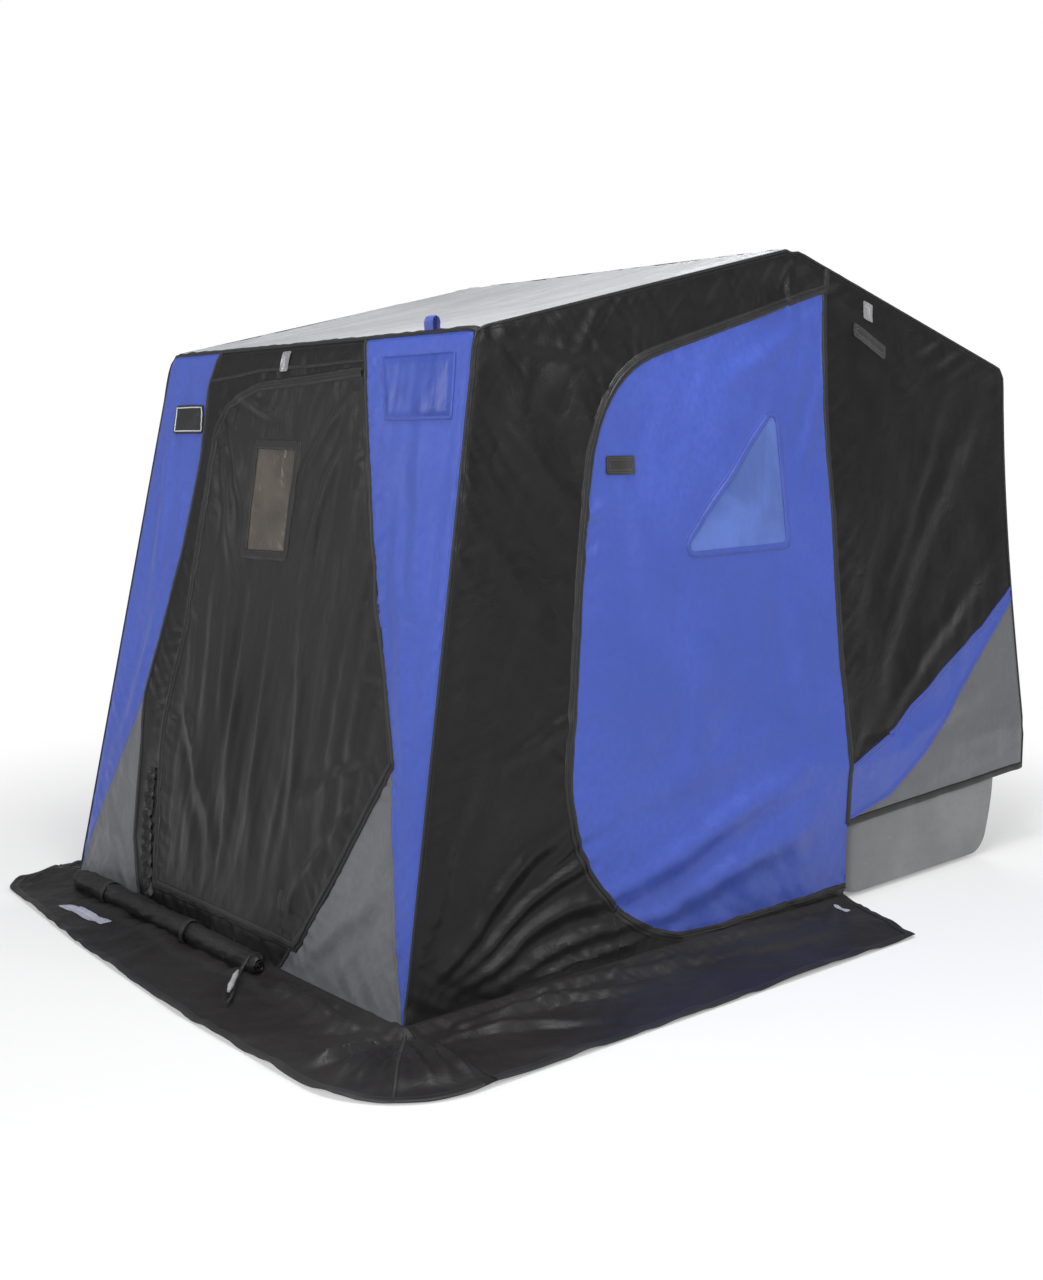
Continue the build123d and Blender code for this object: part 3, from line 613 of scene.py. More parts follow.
def fabric(name, colour, thread, rough, sheen, pitch=0.0011, stretch=(1, 1, 1), crumple=0.35,
           streak=0.0, metal=0.0, dust=0.10, gloss=0.45):
    """Woven coated cloth with stitched edges, creases, painted shade along its cut edges and a little
    dust near the ice.
    """
    m = Paint(name)
    uv = m.node("ShaderNodeUVMap", uv_map="cut").outputs[0]
    u, v = m.node("ShaderNodeSeparateXYZ", {0: uv}).outputs[:2]
    warp, weft = (m.math("SINE", m.math("MULTIPLY", way, 2 * math.pi / pitch)) for way in (u, v))
    weave = m.math("MULTIPLY_ADD", m.math("MULTIPLY", warp, weft), 0.5, 0.5)
    broad = m.grain(1.6, 3.0, 0.4)
    fine = m.grain(55.0, 3.0)
    creased = m.grain(7.0, 5.0, 1.2, stretch, 0.6)
    place = m.node("ShaderNodeMapping", {"Vector": m.object, "Rotation": (0.5, 0.3, 0.4),
                                         "Scale": stretch}).outputs[0]
    bent = m.node("ShaderNodeTexNoise", {"Vector": place, "Scale": 3.0, "Detail": 3.0})
    bent = m.node("ShaderNodeVectorMath", {0: bent.outputs["Color"], 1: (0.35, 0.35, 0.35)},
                  operation="MULTIPLY").outputs[0]
    bent = m.node("ShaderNodeVectorMath", {0: bent, 1: place}, operation="ADD").outputs[0]
    packed = m.node("ShaderNodeTexVoronoi", {"Vector": bent, "Scale": 4.2, "Smoothness": 0.12},
                    feature="SMOOTH_F1").outputs["Distance"]
    edge, along = m.attribute("edge"), m.attribute("along")

    tone = m.mix(m.span(broad, 0.3, 0.7, 0.0, 1.0), tint(colour, 0.88), tint(colour, 1.10))
    tone = m.mix(m.span(fine, 0.35, 0.65, 0.0, 0.35), tone, tint(colour, 0.78))
    tone = m.mix(m.span(weave, 0.0, 1.0, 0.10, 0.0), tone, tint(colour, 0.55))
    if streak:
        lines = m.grain(30.0, 4.0, 0.2, (1.0, 0.06, 0.06), 0.6)
        tone = m.mix(m.span(lines, 0.42, 0.7, 0.0, streak), tone, tint(colour, 0.60))
    height = m.node("ShaderNodeSeparateXYZ", {0: m.object}).outputs[2]
    low = m.math("MULTIPLY", m.span(height, 0.0, 0.30, dust, 0.0), m.span(broad, 0.4, 0.7, 0.1, 1.0))
    tone = m.mix(low, tone, (0.20, 0.20, 0.20, 1.0))
    # painted shade: the cloth darkens within 4 mm of its cut edge, as if shaded where a seam meets the
    # next piece
    tone = m.mix(m.span(edge, 0.0, 0.004, 0.35, 0.0), tone, tint(colour, 0.45))
    normal = m.bump(creased, crumple, 0.012)
    normal = m.bump(packed, 0.30 * crumple, 0.020, normal)
    normal = m.bump(weave, 0.20, 0.0002, normal)
    rows = []
    for row in (0.005, 0.012):
        off = m.math("ABSOLUTE", m.math("SUBTRACT", edge, row))
        rows.append(m.span(off, 0.0004, 0.0010, 1.0, 0.0))
    dash = m.math("FRACT", m.math("DIVIDE", along, 0.0055))
    dash = m.span(m.math("ABSOLUTE", m.math("SUBTRACT", dash, 0.5)), 0.28, 0.36, 1.0, 0.0)
    sewn = m.math("MULTIPLY", m.math("MAXIMUM", *rows), dash)
    tone = m.mix(sewn, tone, tint(thread, 1.0))
    normal = m.bump(m.span(edge, 0.013, 0.016, 1.0, 0.0), 0.6, 0.0012, normal)
    normal = m.bump(sewn, 0.8, 0.0006, normal)
    shine = m.span(creased, 0.3, 0.7, rough - 0.07, rough + 0.07)
    return m.finish(tone, shine, normal, Sheen_Weight=sheen, Sheen_Roughness=0.45,
                    Specular_IOR_Level=gloss, Metallic=metal)


def moulded(name, colour, rough, pebble=120.0, depth=0.25, metal=0.0, scuff=0.25):
    """Moulded plastic or plain metal with a fine grain, scuffs and worn tone."""
    m = Paint(name)
    broad = m.grain(3.0, 4.0, 0.5)
    pebbled = m.grain(pebble, 3.0)
    scratched = m.grain(18.0, 6.0, 0.3, (0.12, 1.0, 1.6), 0.7)
    tone = m.mix(m.span(broad, 0.3, 0.7, 0.0, 1.0), tint(colour, 0.88), tint(colour, 1.12))
    tone = m.mix(m.span(scratched, 0.60, 0.72, 0.0, scuff), tone, tint(colour, 1.7))
    tone = m.mix(m.span(pebbled, 0.55, 0.75, 0.0, 0.20), tone, tint(colour, 0.6))
    normal = m.bump(pebbled, depth, 0.0010)
    normal = m.bump(scratched, 0.08, 0.0008, normal)
    shine = m.span(scratched, 0.4, 0.7, rough - 0.06, rough + 0.10)
    return m.finish(tone, shine, normal, Metallic=metal)


def film(name, colour, clear, rough=0.12, ripple=0.5, size=8.0):
    """Clear flexible vinyl, wrinkled and a little hazy, with painted shade along its edges."""
    m = Paint(name)
    wrinkle = m.grain(size, 3.0, 1.2, (1.0, 1.0, 0.45), 0.5)
    haze = m.grain(5.0, 3.0, 0.6)
    edge = m.attribute("edge")
    tone = m.mix(m.span(haze, 0.35, 0.7, 0.0, 1.0), tint(colour, 0.85), tint(colour, 1.15))
    # painted shade: the film darkens within 8 mm of its edge, as if shaded by the tape around it
    tone = m.mix(m.span(edge, 0.0, 0.008, 0.6, 0.0), tone, tint(colour, 0.4))
    normal = m.bump(wrinkle, ripple, 0.010)
    shine = m.span(haze, 0.3, 0.7, rough - 0.04, rough + 0.10)
    return m.finish(tone, shine, normal, Transmission_Weight=clear, IOR=1.35,
                    Specular_IOR_Level=0.6)


DARK_THREAD, BLUE_THREAD = (0.03, 0.03, 0.03), (0.04, 0.06, 0.30)
blue_cloth = fabric("blue_cloth", (0.045, 0.088, 0.440), BLUE_THREAD, 0.44, 0.08, crumple=0.32)
black_cloth = fabric("black_cloth", (0.0085, 0.0080, 0.0085), DARK_THREAD, 0.38, 0.01,
                     crumple=0.26, gloss=0.26)
door_cloth = fabric("door_cloth", (0.0105, 0.0095, 0.0095), DARK_THREAD, 0.42, 0.03,
                    stretch=(1.6, 1.6, 0.45), crumple=0.26, gloss=0.34)
grey_cloth = fabric("grey_cloth", (0.125, 0.130, 0.140), (0.08, 0.08, 0.09), 0.45, 0.08, crumple=0.5)
# painted reflection: the roof's black cloth is given this light silver-grey colour in place of the white
# studio it reflects at a grazing angle
silver_cloth = fabric("silver_cloth", (0.50, 0.51, 0.53), (0.35, 0.35, 0.37), 0.50, 0.04,
                      crumple=0.35, streak=0.35, metal=0.12, gloss=0.35)
skirt_cloth = fabric("skirt_cloth", (0.0175, 0.0155, 0.0150), DARK_THREAD, 0.46, 0.01,
                     pitch=0.0016, crumple=0.40, dust=0.05, gloss=0.28)
binding = fabric("binding", (0.008, 0.008, 0.0085), (0.035, 0.035, 0.035), 0.50, 0.04, pitch=0.0018,
                 crumple=0.15, dust=0.12)
webbing = fabric("webbing", (0.05, 0.085, 0.40), BLUE_THREAD, 0.60, 0.25, pitch=0.0030,
                 crumple=0.1, dust=0.0)
hook_tape = fabric("hook_tape", (0.009, 0.009, 0.010), (0.05, 0.05, 0.05), 0.75, 0.30,
                   pitch=0.0016, crumple=0.1, dust=0.0)
reflective = fabric("reflective", (0.50, 0.50, 0.51), (0.2, 0.2, 0.2), 0.35, 0.0, pitch=0.0020,
                    crumple=0.1, dust=0.0, metal=0.55)
label_cloth = fabric("label_cloth", (0.46, 0.48, 0.56), (0.05, 0.07, 0.30), 0.55, 0.10,
                     pitch=0.0014, crumple=0.1, dust=0.0)
badge_rubber = moulded("badge_rubber", (0.012, 0.012, 0.013), 0.40, 220.0)
badge_light = moulded("badge_light", (0.52, 0.53, 0.54), 0.45, 220.0)
side_vinyl = film("side_vinyl", (0.17, 0.27, 0.72), 0.45, 0.08, 0.9, 6.0)
door_vinyl = film("door_vinyl", (0.155, 0.135, 0.115), 0.40, 0.16, 0.6, 11.0)
pocket_vinyl = film("pocket_vinyl", (0.060, 0.105, 0.46), 0.30, 0.24, 0.25)
sled_plastic = moulded("sled_plastic", (0.20, 0.202, 0.205), 0.55, 70.0, 0.30)
runner_plastic = moulded("runner_plastic", (0.030, 0.030, 0.032), 0.45, 90.0, 0.2, scuff=0.6)
zinc = moulded("zinc", (0.55, 0.56, 0.58), 0.34, 160.0, 0.10, metal=1.0, scuff=0.2)
bolt_steel = moulded("bolt_steel", (0.48, 0.49, 0.50), 0.28, 200.0, 0.06, metal=1.0, scuff=0.3)
pole_steel = moulded("pole_steel", (0.36, 0.37, 0.39), 0.30, 140.0, 0.08, metal=1.0, scuff=0.4)
black_plastic = moulded("black_plastic", (0.018, 0.018, 0.019), 0.42, 180.0)
lever_plastic = moulded("lever_plastic", (0.45, 0.035, 0.025), 0.38, 180.0)
grey_plastic = moulded("grey_plastic", (0.40, 0.41, 0.42), 0.45, 180.0)


# ---------------------------------------------------------------- mesh builders
def object_from(name, points, faces, material, uv=None, facts=None, sharp=40):
    """A mesh object with smooth faces, its cut's coordinates and per-vertex facts."""
    mesh = bpy.data.meshes.new(name)
    mesh.from_pydata(points.tolist(), [], [list(map(int, f)) for f in faces])
    mesh.materials.append(material)
    mesh.polygons.foreach_set("use_smooth", [True] * len(mesh.polygons))
    if uv is not None:
        corners = np.zeros(len(mesh.loops), np.int32)
        mesh.loops.foreach_get("vertex_index", corners)
        layer = mesh.uv_layers.new(name="cut")
        layer.data.foreach_set("uv", uv[corners].astype(np.float32).ravel())
    for key, values in (facts or {}).items():
        made = mesh.attributes.new(key, "FLOAT", "POINT")
        made.data.foreach_set("value", values.astype(np.float32))
    mesh.validate()
    mesh.set_sharp_from_angle(angle=math.radians(sharp))
    made = bpy.data.objects.new(name, mesh)
    bpy.context.scene.collection.objects.link(made)
    return made


def face_normals(points, triangles):
    """Unit normals at the vertices of a triangle mesh."""
    a, b, c = (points[triangles[:, i]] for i in range(3))
    across = np.cross(b - a, c - a)
    total = np.zeros_like(points)
    for i in range(3):
        np.add.at(total, triangles[:, i], across)
    return total / np.maximum(np.linalg.norm(total, axis=1)[:, None], 1e-12)


def within(p, loops):
    """Which points lie inside the first outline and outside the others."""
    keep = inside(p, loops[0])
    for hole in loops[1:]:
        keep &= ~inside(p, hole)
    return keep


def cut(outline, holes, step):
    """Vertices and triangles of a flat cut with holes, and its edge facts."""
    loops = [spaced(closed(loop), step)[:-1] for loop in (outline, *holes)]
    low, high = outline.min(0), outline.max(0)
    rows = []
    for i, row in enumerate(np.arange(low[1] + step / 2, high[1], step * 0.866)):
        across = np.arange(low[0] + step * (0.5 if i % 2 else 1.0), high[0], step)
        rows.append(np.stack([across, np.full_like(across, row)], 1))
    grid = np.vstack(rows)
    grid = grid[within(grid, loops)]
    for loop in loops:
        if len(grid):
            grid = grid[nearest(grid, closed(loop))[0] > 0.5 * step]
    points, edges, first = [], [], 0
    for loop in loops:
        count = len(loop)
        points += [Vector(p) for p in loop]
        edges += [(first + i, first + (i + 1) % count) for i in range(count)]
        first += count
    points += [Vector(p) for p in grid]
    flat, _, triangles, *_ = delaunay_2d_cdt(points, edges, [], 0, 1e-7)
    flat = np.array([tuple(p) for p in flat])
    triangles = np.array([t for t in triangles if len(t) == 3])
    triangles = triangles[within(flat[triangles].mean(1), loops)]
    used, triangles = np.unique(triangles, return_inverse=True)
    triangles = triangles.reshape(-1, 3)
    flat = flat[used]
    edge = np.full(len(flat), 9.0)
    along = np.zeros(len(flat))
    for loop in loops:
        far, distance, _ = nearest(flat, closed(loop))
        closer = far < edge
        edge, along = np.where(closer, far, edge), np.where(closer, distance, along)
    return flat, triangles, edge, along


def thickened(outer, triangles, thick):
    """A closed skin: the outer sheet, an inner sheet under it and the rim between."""
    normal = face_normals(outer, triangles)
    count = len(outer)
    sides = np.concatenate([triangles[:, [0, 1]], triangles[:, [1, 2]], triangles[:, [2, 0]]])
    codes = sides.min(1) * count + sides.max(1)
    _, first, uses = np.unique(codes, return_index=True, return_counts=True)
    rim = sides[first[uses == 1]]
    faces = [*triangles, *(triangles[:, ::-1] + count)]
    faces += [(b, a, a + count, b + count) for a, b in rim]
    return np.vstack([outer, outer - thick * normal]), faces


def panel(name, surface, material, outline, holes=(), lift=0.0, thick=CLOTH, step=STEP, dome=0.0):
    """A cloth piece cut to an outline and laid on a surface of the canopy."""
    outline = np.array(outline, float)
    flat, triangles, edge, along = cut(outline, holes, step)
    outer = surface.place(flat, lift + dome * ease(edge / 0.02))
    if face_normals(outer, triangles).mean(0) @ surface.way < 0:
        triangles = triangles[:, ::-1]
    points, faces = thickened(outer, triangles, thick)
    made = object_from(name, points, faces, material, np.vstack([flat, flat]),
                       {"edge": np.tile(edge, 2), "along": np.tile(along, 2)})
    a, b = (flat[triangles[:, i]] - flat[triangles[:, 0]] for i in (1, 2))
    made["cut_area"] = float(np.abs(a[:, 0] * b[:, 1] - a[:, 1] * b[:, 0]).sum() / 2)
    made["cut_size"] = np.ptp(outline, axis=0).tolist()
    return made


def patch(name, surface, material, radius, corners, **facts):
    """A small panel with round corners."""
    outline = rounded(*((*corner, radius) for corner in corners))
    return panel(name, surface, material, outline, **facts)


def skin_faces(count, size):
    """Faces of a closed skin over a row of rings: its sides and its two ends."""
    faces = []
    for i in range(count - 1):
        for j in range(size):
            k = (j + 1) % size
            faces.append((i * size + j, i * size + k, (i + 1) * size + k, (i + 1) * size + j))
    return [*faces, tuple(range(size))[::-1], tuple((count - 1) * size + j for j in range(size))]


def band_of(name, rings, along, shares, width, material):
    """A closed band over rings of points that lie at the given shares of its width."""
    count, size = rings.shape[:2]
    shares = np.tile(shares, count)
    uv = np.stack([np.repeat(along, size), shares * width], 1)
    facts = {"edge": (0.5 - np.abs(shares)) * width, "along": np.repeat(along, size)}
    return object_from(name, rings.reshape(-1, 3), skin_faces(count, size), material, uv, facts, 60)


def ribbon(name, surface, line, width, material, high=0.0018, lift=0.0006, step=0.012):
    """A stitched tape along a line of a surface, crowned across its width."""
    line = spaced(np.asarray(line, float), step)
    way = np.gradient(line, axis=0)
    way /= np.maximum(np.hypot(*way.T)[:, None], 1e-9)
    side = np.stack([way[:, 1], -way[:, 0]], 1)
    shares = (-0.5, -0.36, -0.12, 0.12, 0.36, 0.5)
    rows = [line + side * share * width for share in shares]
    top = [surface.place(row, lift + high * crown)
           for row, crown in zip(rows, (0.0, 0.8, 1.0, 1.0, 0.8, 0.0))]
    low = [surface.place(row, -0.0008) for row in rows[::-1]]
    rings = np.stack(top + low, 1)
    made = band_of(name, rings, run_length(line), shares + shares[::-1], width, material)
    middle = len(line) // 2
    a, b, c = rings[middle][1], rings[middle][2], rings[min(len(line) - 1, middle + 1)][1]
    if np.cross(b - a, c - a) @ surface.way > 0:
        made.data.flip_normals()
    return made


def tube(name, line, radius, material, sides=8, step=0.014):
    """A round bead along a line in space; the radius may be a list along it."""
    line = spaced(np.asarray(line, float), step)
    count = len(line)
    shares = np.linspace(0, 1, count)
    radii = np.interp(shares, np.linspace(0, 1, np.size(radius)), np.ravel(radius))
    way = np.gradient(line, axis=0)
    way /= np.maximum(np.linalg.norm(way, axis=1)[:, None], 1e-9)
    axis = np.array((0.0, 0.0, 1.0)) if abs(way[0][2]) < 0.9 else np.array((1.0, 0.0, 0.0))
    across = [unit(np.cross(way[0], axis))]
    for i in range(1, count):
        flat = across[-1] - way[i] * (across[-1] @ way[i])
        across.append(unit(flat))
    across = np.array(across)
    other = np.cross(way, across)
    angles = np.linspace(0, 2 * np.pi, sides, endpoint=False)
    spoke = across[:, None] * np.cos(angles)[:, None] + other[:, None] * np.sin(angles)[:, None]
    points = (line[:, None] + radii[:, None, None] * spoke).reshape(-1, 3)
    along = run_length(line)
    uv = np.stack([np.repeat(along, sides), np.tile(angles * float(np.mean(radii)), count)], 1)
    faces = [f[::-1] for f in skin_faces(count, sides)]
    facts = {"edge": np.full(len(points), 0.05), "along": np.repeat(along, sides)}
    return object_from(name, points, faces, material, uv, facts, 60)


def strap(name, line, across, width, thick, material):
    """A flat webbing strap along a line in space, its width along one direction."""
    line = spaced(np.asarray(line, float), 0.004)
    across = unit(np.array(across, float))
    way = np.gradient(line, axis=0)
    way /= np.linalg.norm(way, axis=1)[:, None]
    out = np.cross(way, across)
    profile = [(-0.5, 0.0), (-0.44, 1.0), (0.0, 1.15), (0.44, 1.0), (0.5, 0.0), (0.44, -1.0),
               (0.0, -1.15), (-0.44, -1.0)]
    rings = np.stack([line + across * share * width + out * tall * thick / 2
                      for share, tall in profile], 1)
    shares = [share for share, _ in profile]
    made = band_of(name, rings, run_length(line), shares, width, material)
    mesh = made.data
    if sum(f.area * f.normal.dot(f.center - Vector(line.mean(0))) for f in mesh.polygons) < 0:
        mesh.flip_normals()
    return made


# ---------------------------------------------------------------- how pieces ride
FRONT_FLAT = (0.0, 0.68035, 0.73288)        # across the front bow
MAIN_FLAT = (0.0, 0.99843, 0.05603)         # across the main bow
GROUPS = {                  # the body a group rides, then a flattening axis, an anchor and a share to keep
    "front": ("front_upper", FRONT_FLAT, PIVOT, 0.06),
    "skirt": ("front_lower", FRONT_FLAT, PIVOT, 0.06),
    "door": ("front_door", FRONT_FLAT, PIVOT, 0.06),
    "door_right": ("side_door_right", MAIN_FLAT, PIVOT, 0.06),
    "door_left": ("side_door_left", MAIN_FLAT, PIVOT, 0.06),
    "rear": ("sled", (0.0, 0.0, 1.0), (0.0, 0.0, 0.430), 0.24),
}


def sew(piece, group, nodes=(), held=None):
    """Ride the group's body on a mesh of its own, and hide the named nodes of the model."""
    body, axis, anchor, keep = GROUPS[group]
    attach(piece, body)
    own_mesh(piece)
    if nodes:
        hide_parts(*nodes)
    if held:
        wide, long = piece["cut_size"]
        area = piece["cut_area"]
        if area < 0.32 * wide * long:
            long = max(wide, long)
            wide = area / long / 0.9


# ---------------------------------------------------------------- side walls
SILL = (-0.50, 0.30)        # the cloth under a side door starts here and is lower than this
peak = (SEAM_TOP, float(roof_z(SEAM_TOP)))
panel_outline = [(FOOT[0], 0.006), (SILL[0], 0.006), SILL, (0.30, 0.30), (0.40, 1.80),
                 (seam_y(1.90), 1.90), peak, RIDGE, BROW]
sill_outline = [(SILL[0], 0.006), (SEAM_FOOT, 0.006), (seam_y(0.06), 0.06), (0.30, 0.30), SILL]
top_line = [(seam_y(0.425), 0.425), *flash_top[1:-1], (float(rear_y(0.945)), 0.915)]
low_line = [(seam_y(0.262), 0.262), *flash_low[1:-1], (float(rear_y(0.88)), 0.880)]
rear_outline = [peak, *top_line, *((float(rear_y(z)), z) for z in (1.1, 1.4, 1.688))]
blue_outline = [*top_line, *reversed(low_line)]
grey_outline = [*low_line, RIM, HEM, (seam_y(HEM_FRONT_Z), HEM_FRONT_Z)]
hem_line = [(seam_y(HEM_FRONT_Z), HEM_FRONT_Z + 0.008), (HEM[0], HEM[1] + 0.008)]
flap_line = spaced(closed(door_side)[1:], 0.02)
above_sill = (flap_line[:, 0] <= SILL[0]) | (flap_line[:, 1] >= SILL[1])
door_hole = grown(door_side, 0.0015)


def side_wall(word, sign, layer):
    """One side of the canopy, with its door, its rear cloth and its tapes."""
    wall = side_surface(sign, layer)
    once = sign > 0             # a node that holds both sides is replaced by the right one
    sew(panel(f"side_wall_{word}", wall, black_cloth, panel_outline, [door_hole], step=0.012),
        "front", [f"side_panel_{word}"],
        "stretched")
    sew(panel(f"side_sill_{word}", wall, black_cloth, sill_outline, [door_hole], step=0.012),
        "skirt")

    door = f"door_{word}"
    sew(panel(f"side_door_{word}_cloth", wall, blue_cloth, door_side, [grown(window_side, 0.001)]),
        door, [f"side_door_{word}"], "stretched")
    sew(panel(f"side_window_{word}_film", wall, side_vinyl, grown(window_side, 0.006), lift=-0.0018,
              thick=0.0008, step=0.009),
        door, [f"side_window_{word}"], "stretched")
    sew(ribbon(f"side_window_{word}_tape", wall, closed(window_side), 0.016, blue_cloth),
        door)
    sew(patch(f"door_tab_{word}_tape", wall, hook_tape, 0.006,
              [(-0.443, 1.405), (-0.330, 1.405), (-0.330, 1.354), (-0.443, 1.354)],
              lift=0.003, thick=0.0022, step=0.007), door, [f"door_tab_{word}"])

    for key, line, group in (("", flap_line[above_sill], "front"),
                             ("_foot", flap_line[~above_sill], "skirt")):
        for part, width, high in (("flap", 0.030, 0.0032), ("cord", 0.007, 0.0062)):
            sew(ribbon(f"side_zip_{word}_{part}{key}", wall, line, width, binding, high),
                group)
    sew(ribbon(f"side_seam_{word}_tape", wall, np.vstack([(seam_y(0.250), 0.250), seam_line[3:]]),
               0.022, binding, 0.0030), "rear")

    sew(panel(f"rear_side_{word}_cloth", wall, black_cloth, rear_outline), "rear",
        [f"rear_side_{word}"], "stretched")
    sew(panel(f"flash_{word}", wall, blue_cloth, blue_outline), "rear",
        ["blue_flashes"] if once else [], "stretched")
    sew(panel(f"band_{word}", wall, grey_cloth, grey_outline), "rear",
        ["lower_band"] if once else [], "stretched")
    for key, line in (("upper", top_line), ("lower", low_line)):
        sew(ribbon(f"flash_{key}_seam_{word}", wall, line, 0.012, blue_cloth, 0.0016),
            "rear")
    sew(ribbon(f"band_hem_{word}", wall, hem_line, 0.024, binding, 0.003), "rear")
    sew(patch(f"vent_patch_{word}", wall, hook_tape, 0.008,
              [(0.698, 1.820), (0.859, 1.745), (0.859, 1.700), (0.698, 1.775)],
              lift=0.003, thick=0.0024, step=0.008),
        "rear", ["vent_patches"] if once else [])
    sew(patch(f"rear_tag_{word}", wall, reflective, 0.004,
              [(0.744, 1.888), (0.790, 1.874), (0.790, 1.818), (0.744, 1.832)],
              lift=0.003, thick=0.0020, step=0.006),
        "rear", ["rear_tags"] if once else [])

    corner = np.array([(float(front_y(z)), z) for z in np.linspace(0.006, BROW[1], 60)])
    for name, line, radius, group in (
            ("corner_piping", corner, 0.0038, "front"),
            ("eave_piping_front", spaced(np.array([BROW, RIDGE]), 0.03), 0.0040, "front"),
            ("eave_piping_rear", spaced(np.array([RIDGE, TAIL]), 0.03), 0.0040, "rear"),
            ("back_piping", spaced(np.array([TAIL, RIM, HEM]), 0.03), 0.0038, "rear")):
        sew(tube(f"{name}_{word}", wall.place(line, 0.0005), radius, binding), group)


side_wall("right", 1, 200)
side_wall("left", -1, 300)

# ---------------------------------------------------------------- front wall
surround = [*strip_in_right[:3], (0.528, 0.282), (0.330, 0.006), (-0.470, 0.006),
            (-0.566, 0.199), *strip_in_left[1:]]
sew(panel("front_surround_cloth", front_wall, black_cloth, surround, [grown(door_front, 0.0015)],
          step=0.012),
    "front", ["front_surround"], "stretched")
sew(panel("front_door_cloth", front_wall, door_cloth, door_front, [grown(window_front, 0.001)],
          step=0.012),
    "door", ["front_door"], "hung")
sew(panel("front_window_film", front_wall, door_vinyl, grown(window_front, 0.006), lift=-0.0018,
          thick=0.0008, step=0.008),
    "door", ["front_window"], "stretched")
sew(ribbon("front_window_frame", front_wall, closed(grown(window_front, 0.010)), 0.028, binding,
           0.0028), "door")
for word, strip in (("right", strip_right), ("left", strip_left)):
    sew(panel(f"corner_strip_{word}", front_wall, blue_cloth, strip, step=0.013), "front",
        ["corner_strips"] if word == "right" else [], "stretched")
for word, gusset in (("right", gusset_right), ("left", gusset_left)):
    sew(panel(f"gusset_{word}", front_wall, grey_cloth, gusset, step=0.011), "front",
        ["lower_gussets"] if word == "right" else [], "stretched")
gathered = Surface(front_wall.plain, front_wall.way, lambda p: front_wall.relief(p)
                   + 0.0075 * np.sin(2 * np.pi * (p[:, 1] + 0.7 * p[:, 0]) / 0.027
                                     + 1.2 * noise(p[:, 1] / 0.09, 0.0, 75)))
for name, wall, line, width, high in (
        ("front_zip_flap", front_wall, closed(door_front)[1:], 0.028, 0.0034),
        ("front_zip_cord", front_wall, closed(door_front)[1:], 0.007, 0.0060),
        ("strip_seam_right", front_wall, strip_in_right[:3], 0.014, 0.0022),
        ("strip_seam_left", front_wall, strip_in_left[1:], 0.014, 0.0022),
        ("gusset_seam_right", front_wall, [(0.708, 0.625), (0.528, 0.282), (0.330, 0.010)],
         0.014, 0.0026),
        ("gusset_seam_left", front_wall, [(-0.630, 0.650), (-0.566, 0.199), (-0.470, 0.010)],
         0.014, 0.0026),
        ("door_gather", gathered, [(-0.512, 0.430), (-0.494, 0.270), (-0.462, 0.160),
                                   (-0.432, 0.085), (-0.405, 0.045)], 0.052, 0.009),
        ("header_seam", front_wall, [(-0.488, 1.640), (-0.2, 1.660), (0.332, 1.668)],
         0.010, 0.0020)):
    sew(ribbon(name, wall, line, width, binding, high), "front")
sew(patch("pocket_film", front_wall, pocket_vinyl, 0.01,
          [(0.420, 1.672), (0.726, 1.672), (0.744, 1.506), (0.470, 1.506)],
          lift=0.0030, thick=0.0008, step=0.009, dome=0.004),
    "front", ["pocket_window"], "stretched")
sew(ribbon("pocket_binding", front_wall, [(0.724, 1.670), (0.742, 1.508), (0.472, 1.508),
                                          (0.424, 1.670)], 0.012, blue_cloth, 0.0040),
    "front")
sew(patch("badge", front_wall, badge_rubber, 0.012,
          [(-0.690, 1.565), (-0.520, 1.565), (-0.500, 1.475), (-0.684, 1.475)],
          lift=0.004, thick=0.003, step=0.008), "front", ["badge_patch"])
sew(ribbon("badge_border", front_wall,
           [(-0.682, 1.557), (-0.528, 1.557), (-0.510, 1.483), (-0.676, 1.483), (-0.682, 1.557)],
           0.005, badge_light, 0.0052), "front")
sew(patch("front_tag_tape", front_wall, reflective, 0.004,
          [(-0.092, 1.712), (-0.048, 1.712), (-0.048, 1.652), (-0.092, 1.652)],
          lift=0.004, thick=0.0018, step=0.006), "front", ["front_tag"])


# ---------------------------------------------------------------- roof and rear wall
def roof_bay(front, rear):
    """Outline of the roof between two bows."""
    (y_front, _), half_front = front
    (y_rear, _), half_rear = rear
    return [(-half_front, y_front), (half_front, y_front), (half_rear, y_rear), (-half_rear, y_rear)]


def rear_bay(*heights):
    """Outline of the rear wall between the first height and the last."""
    right = [(float(wall_half(rear_y(z), z)), z) for z in heights]
    return right + [(-x, z) for x, z in reversed(right)]


sew(panel("front_roof_cloth", roof, silver_cloth, roof_bay(*BOWS[:2])),
    "front", ["front_roof"], "stretched")
sew(panel("rear_roof_cloth", roof, silver_cloth, roof_bay(*BOWS[1:])),
    "rear", ["rear_roof"], "stretched")
sew(panel("rear_wall_cloth", rear_wall, black_cloth, rear_bay(TAIL[1], 1.5, 1.2, 0.93)),
    "rear", ["rear_wall"], "stretched")
sew(panel("band_rear", rear_wall, grey_cloth, rear_bay(0.93, 0.68, RIM[1], HEM[1])),
    "rear", [], "stretched")
sew(ribbon("band_rear_seam", rear_wall, [(-0.86, 0.93), (0.86, 0.93)], 0.014, binding),
    "rear")
sew(ribbon("band_rear_hem", rear_wall, [(-SLED_HALF, HEM[1] + 0.008), (SLED_HALF, HEM[1] + 0.008)],
           0.024, binding, 0.003), "rear")
for (name, group), ((y_bow, _), half) in zip(
        (("brow", "front"), ("ridge", "rear"), ("tail", "rear")), BOWS):
    line = spaced(np.array([(-half, y_bow), (half, y_bow)]), 0.03)
    sew(tube(f"{name}_piping", roof.place(line, 0.0005), 0.0045, binding), group)
sew(ribbon("brow_binding", roof, [(-BROW_HALF + 0.004, BROW[0] + 0.012),
                                  (BROW_HALF - 0.004, BROW[0] + 0.012)], 0.024, binding, 0.002),
    "front")

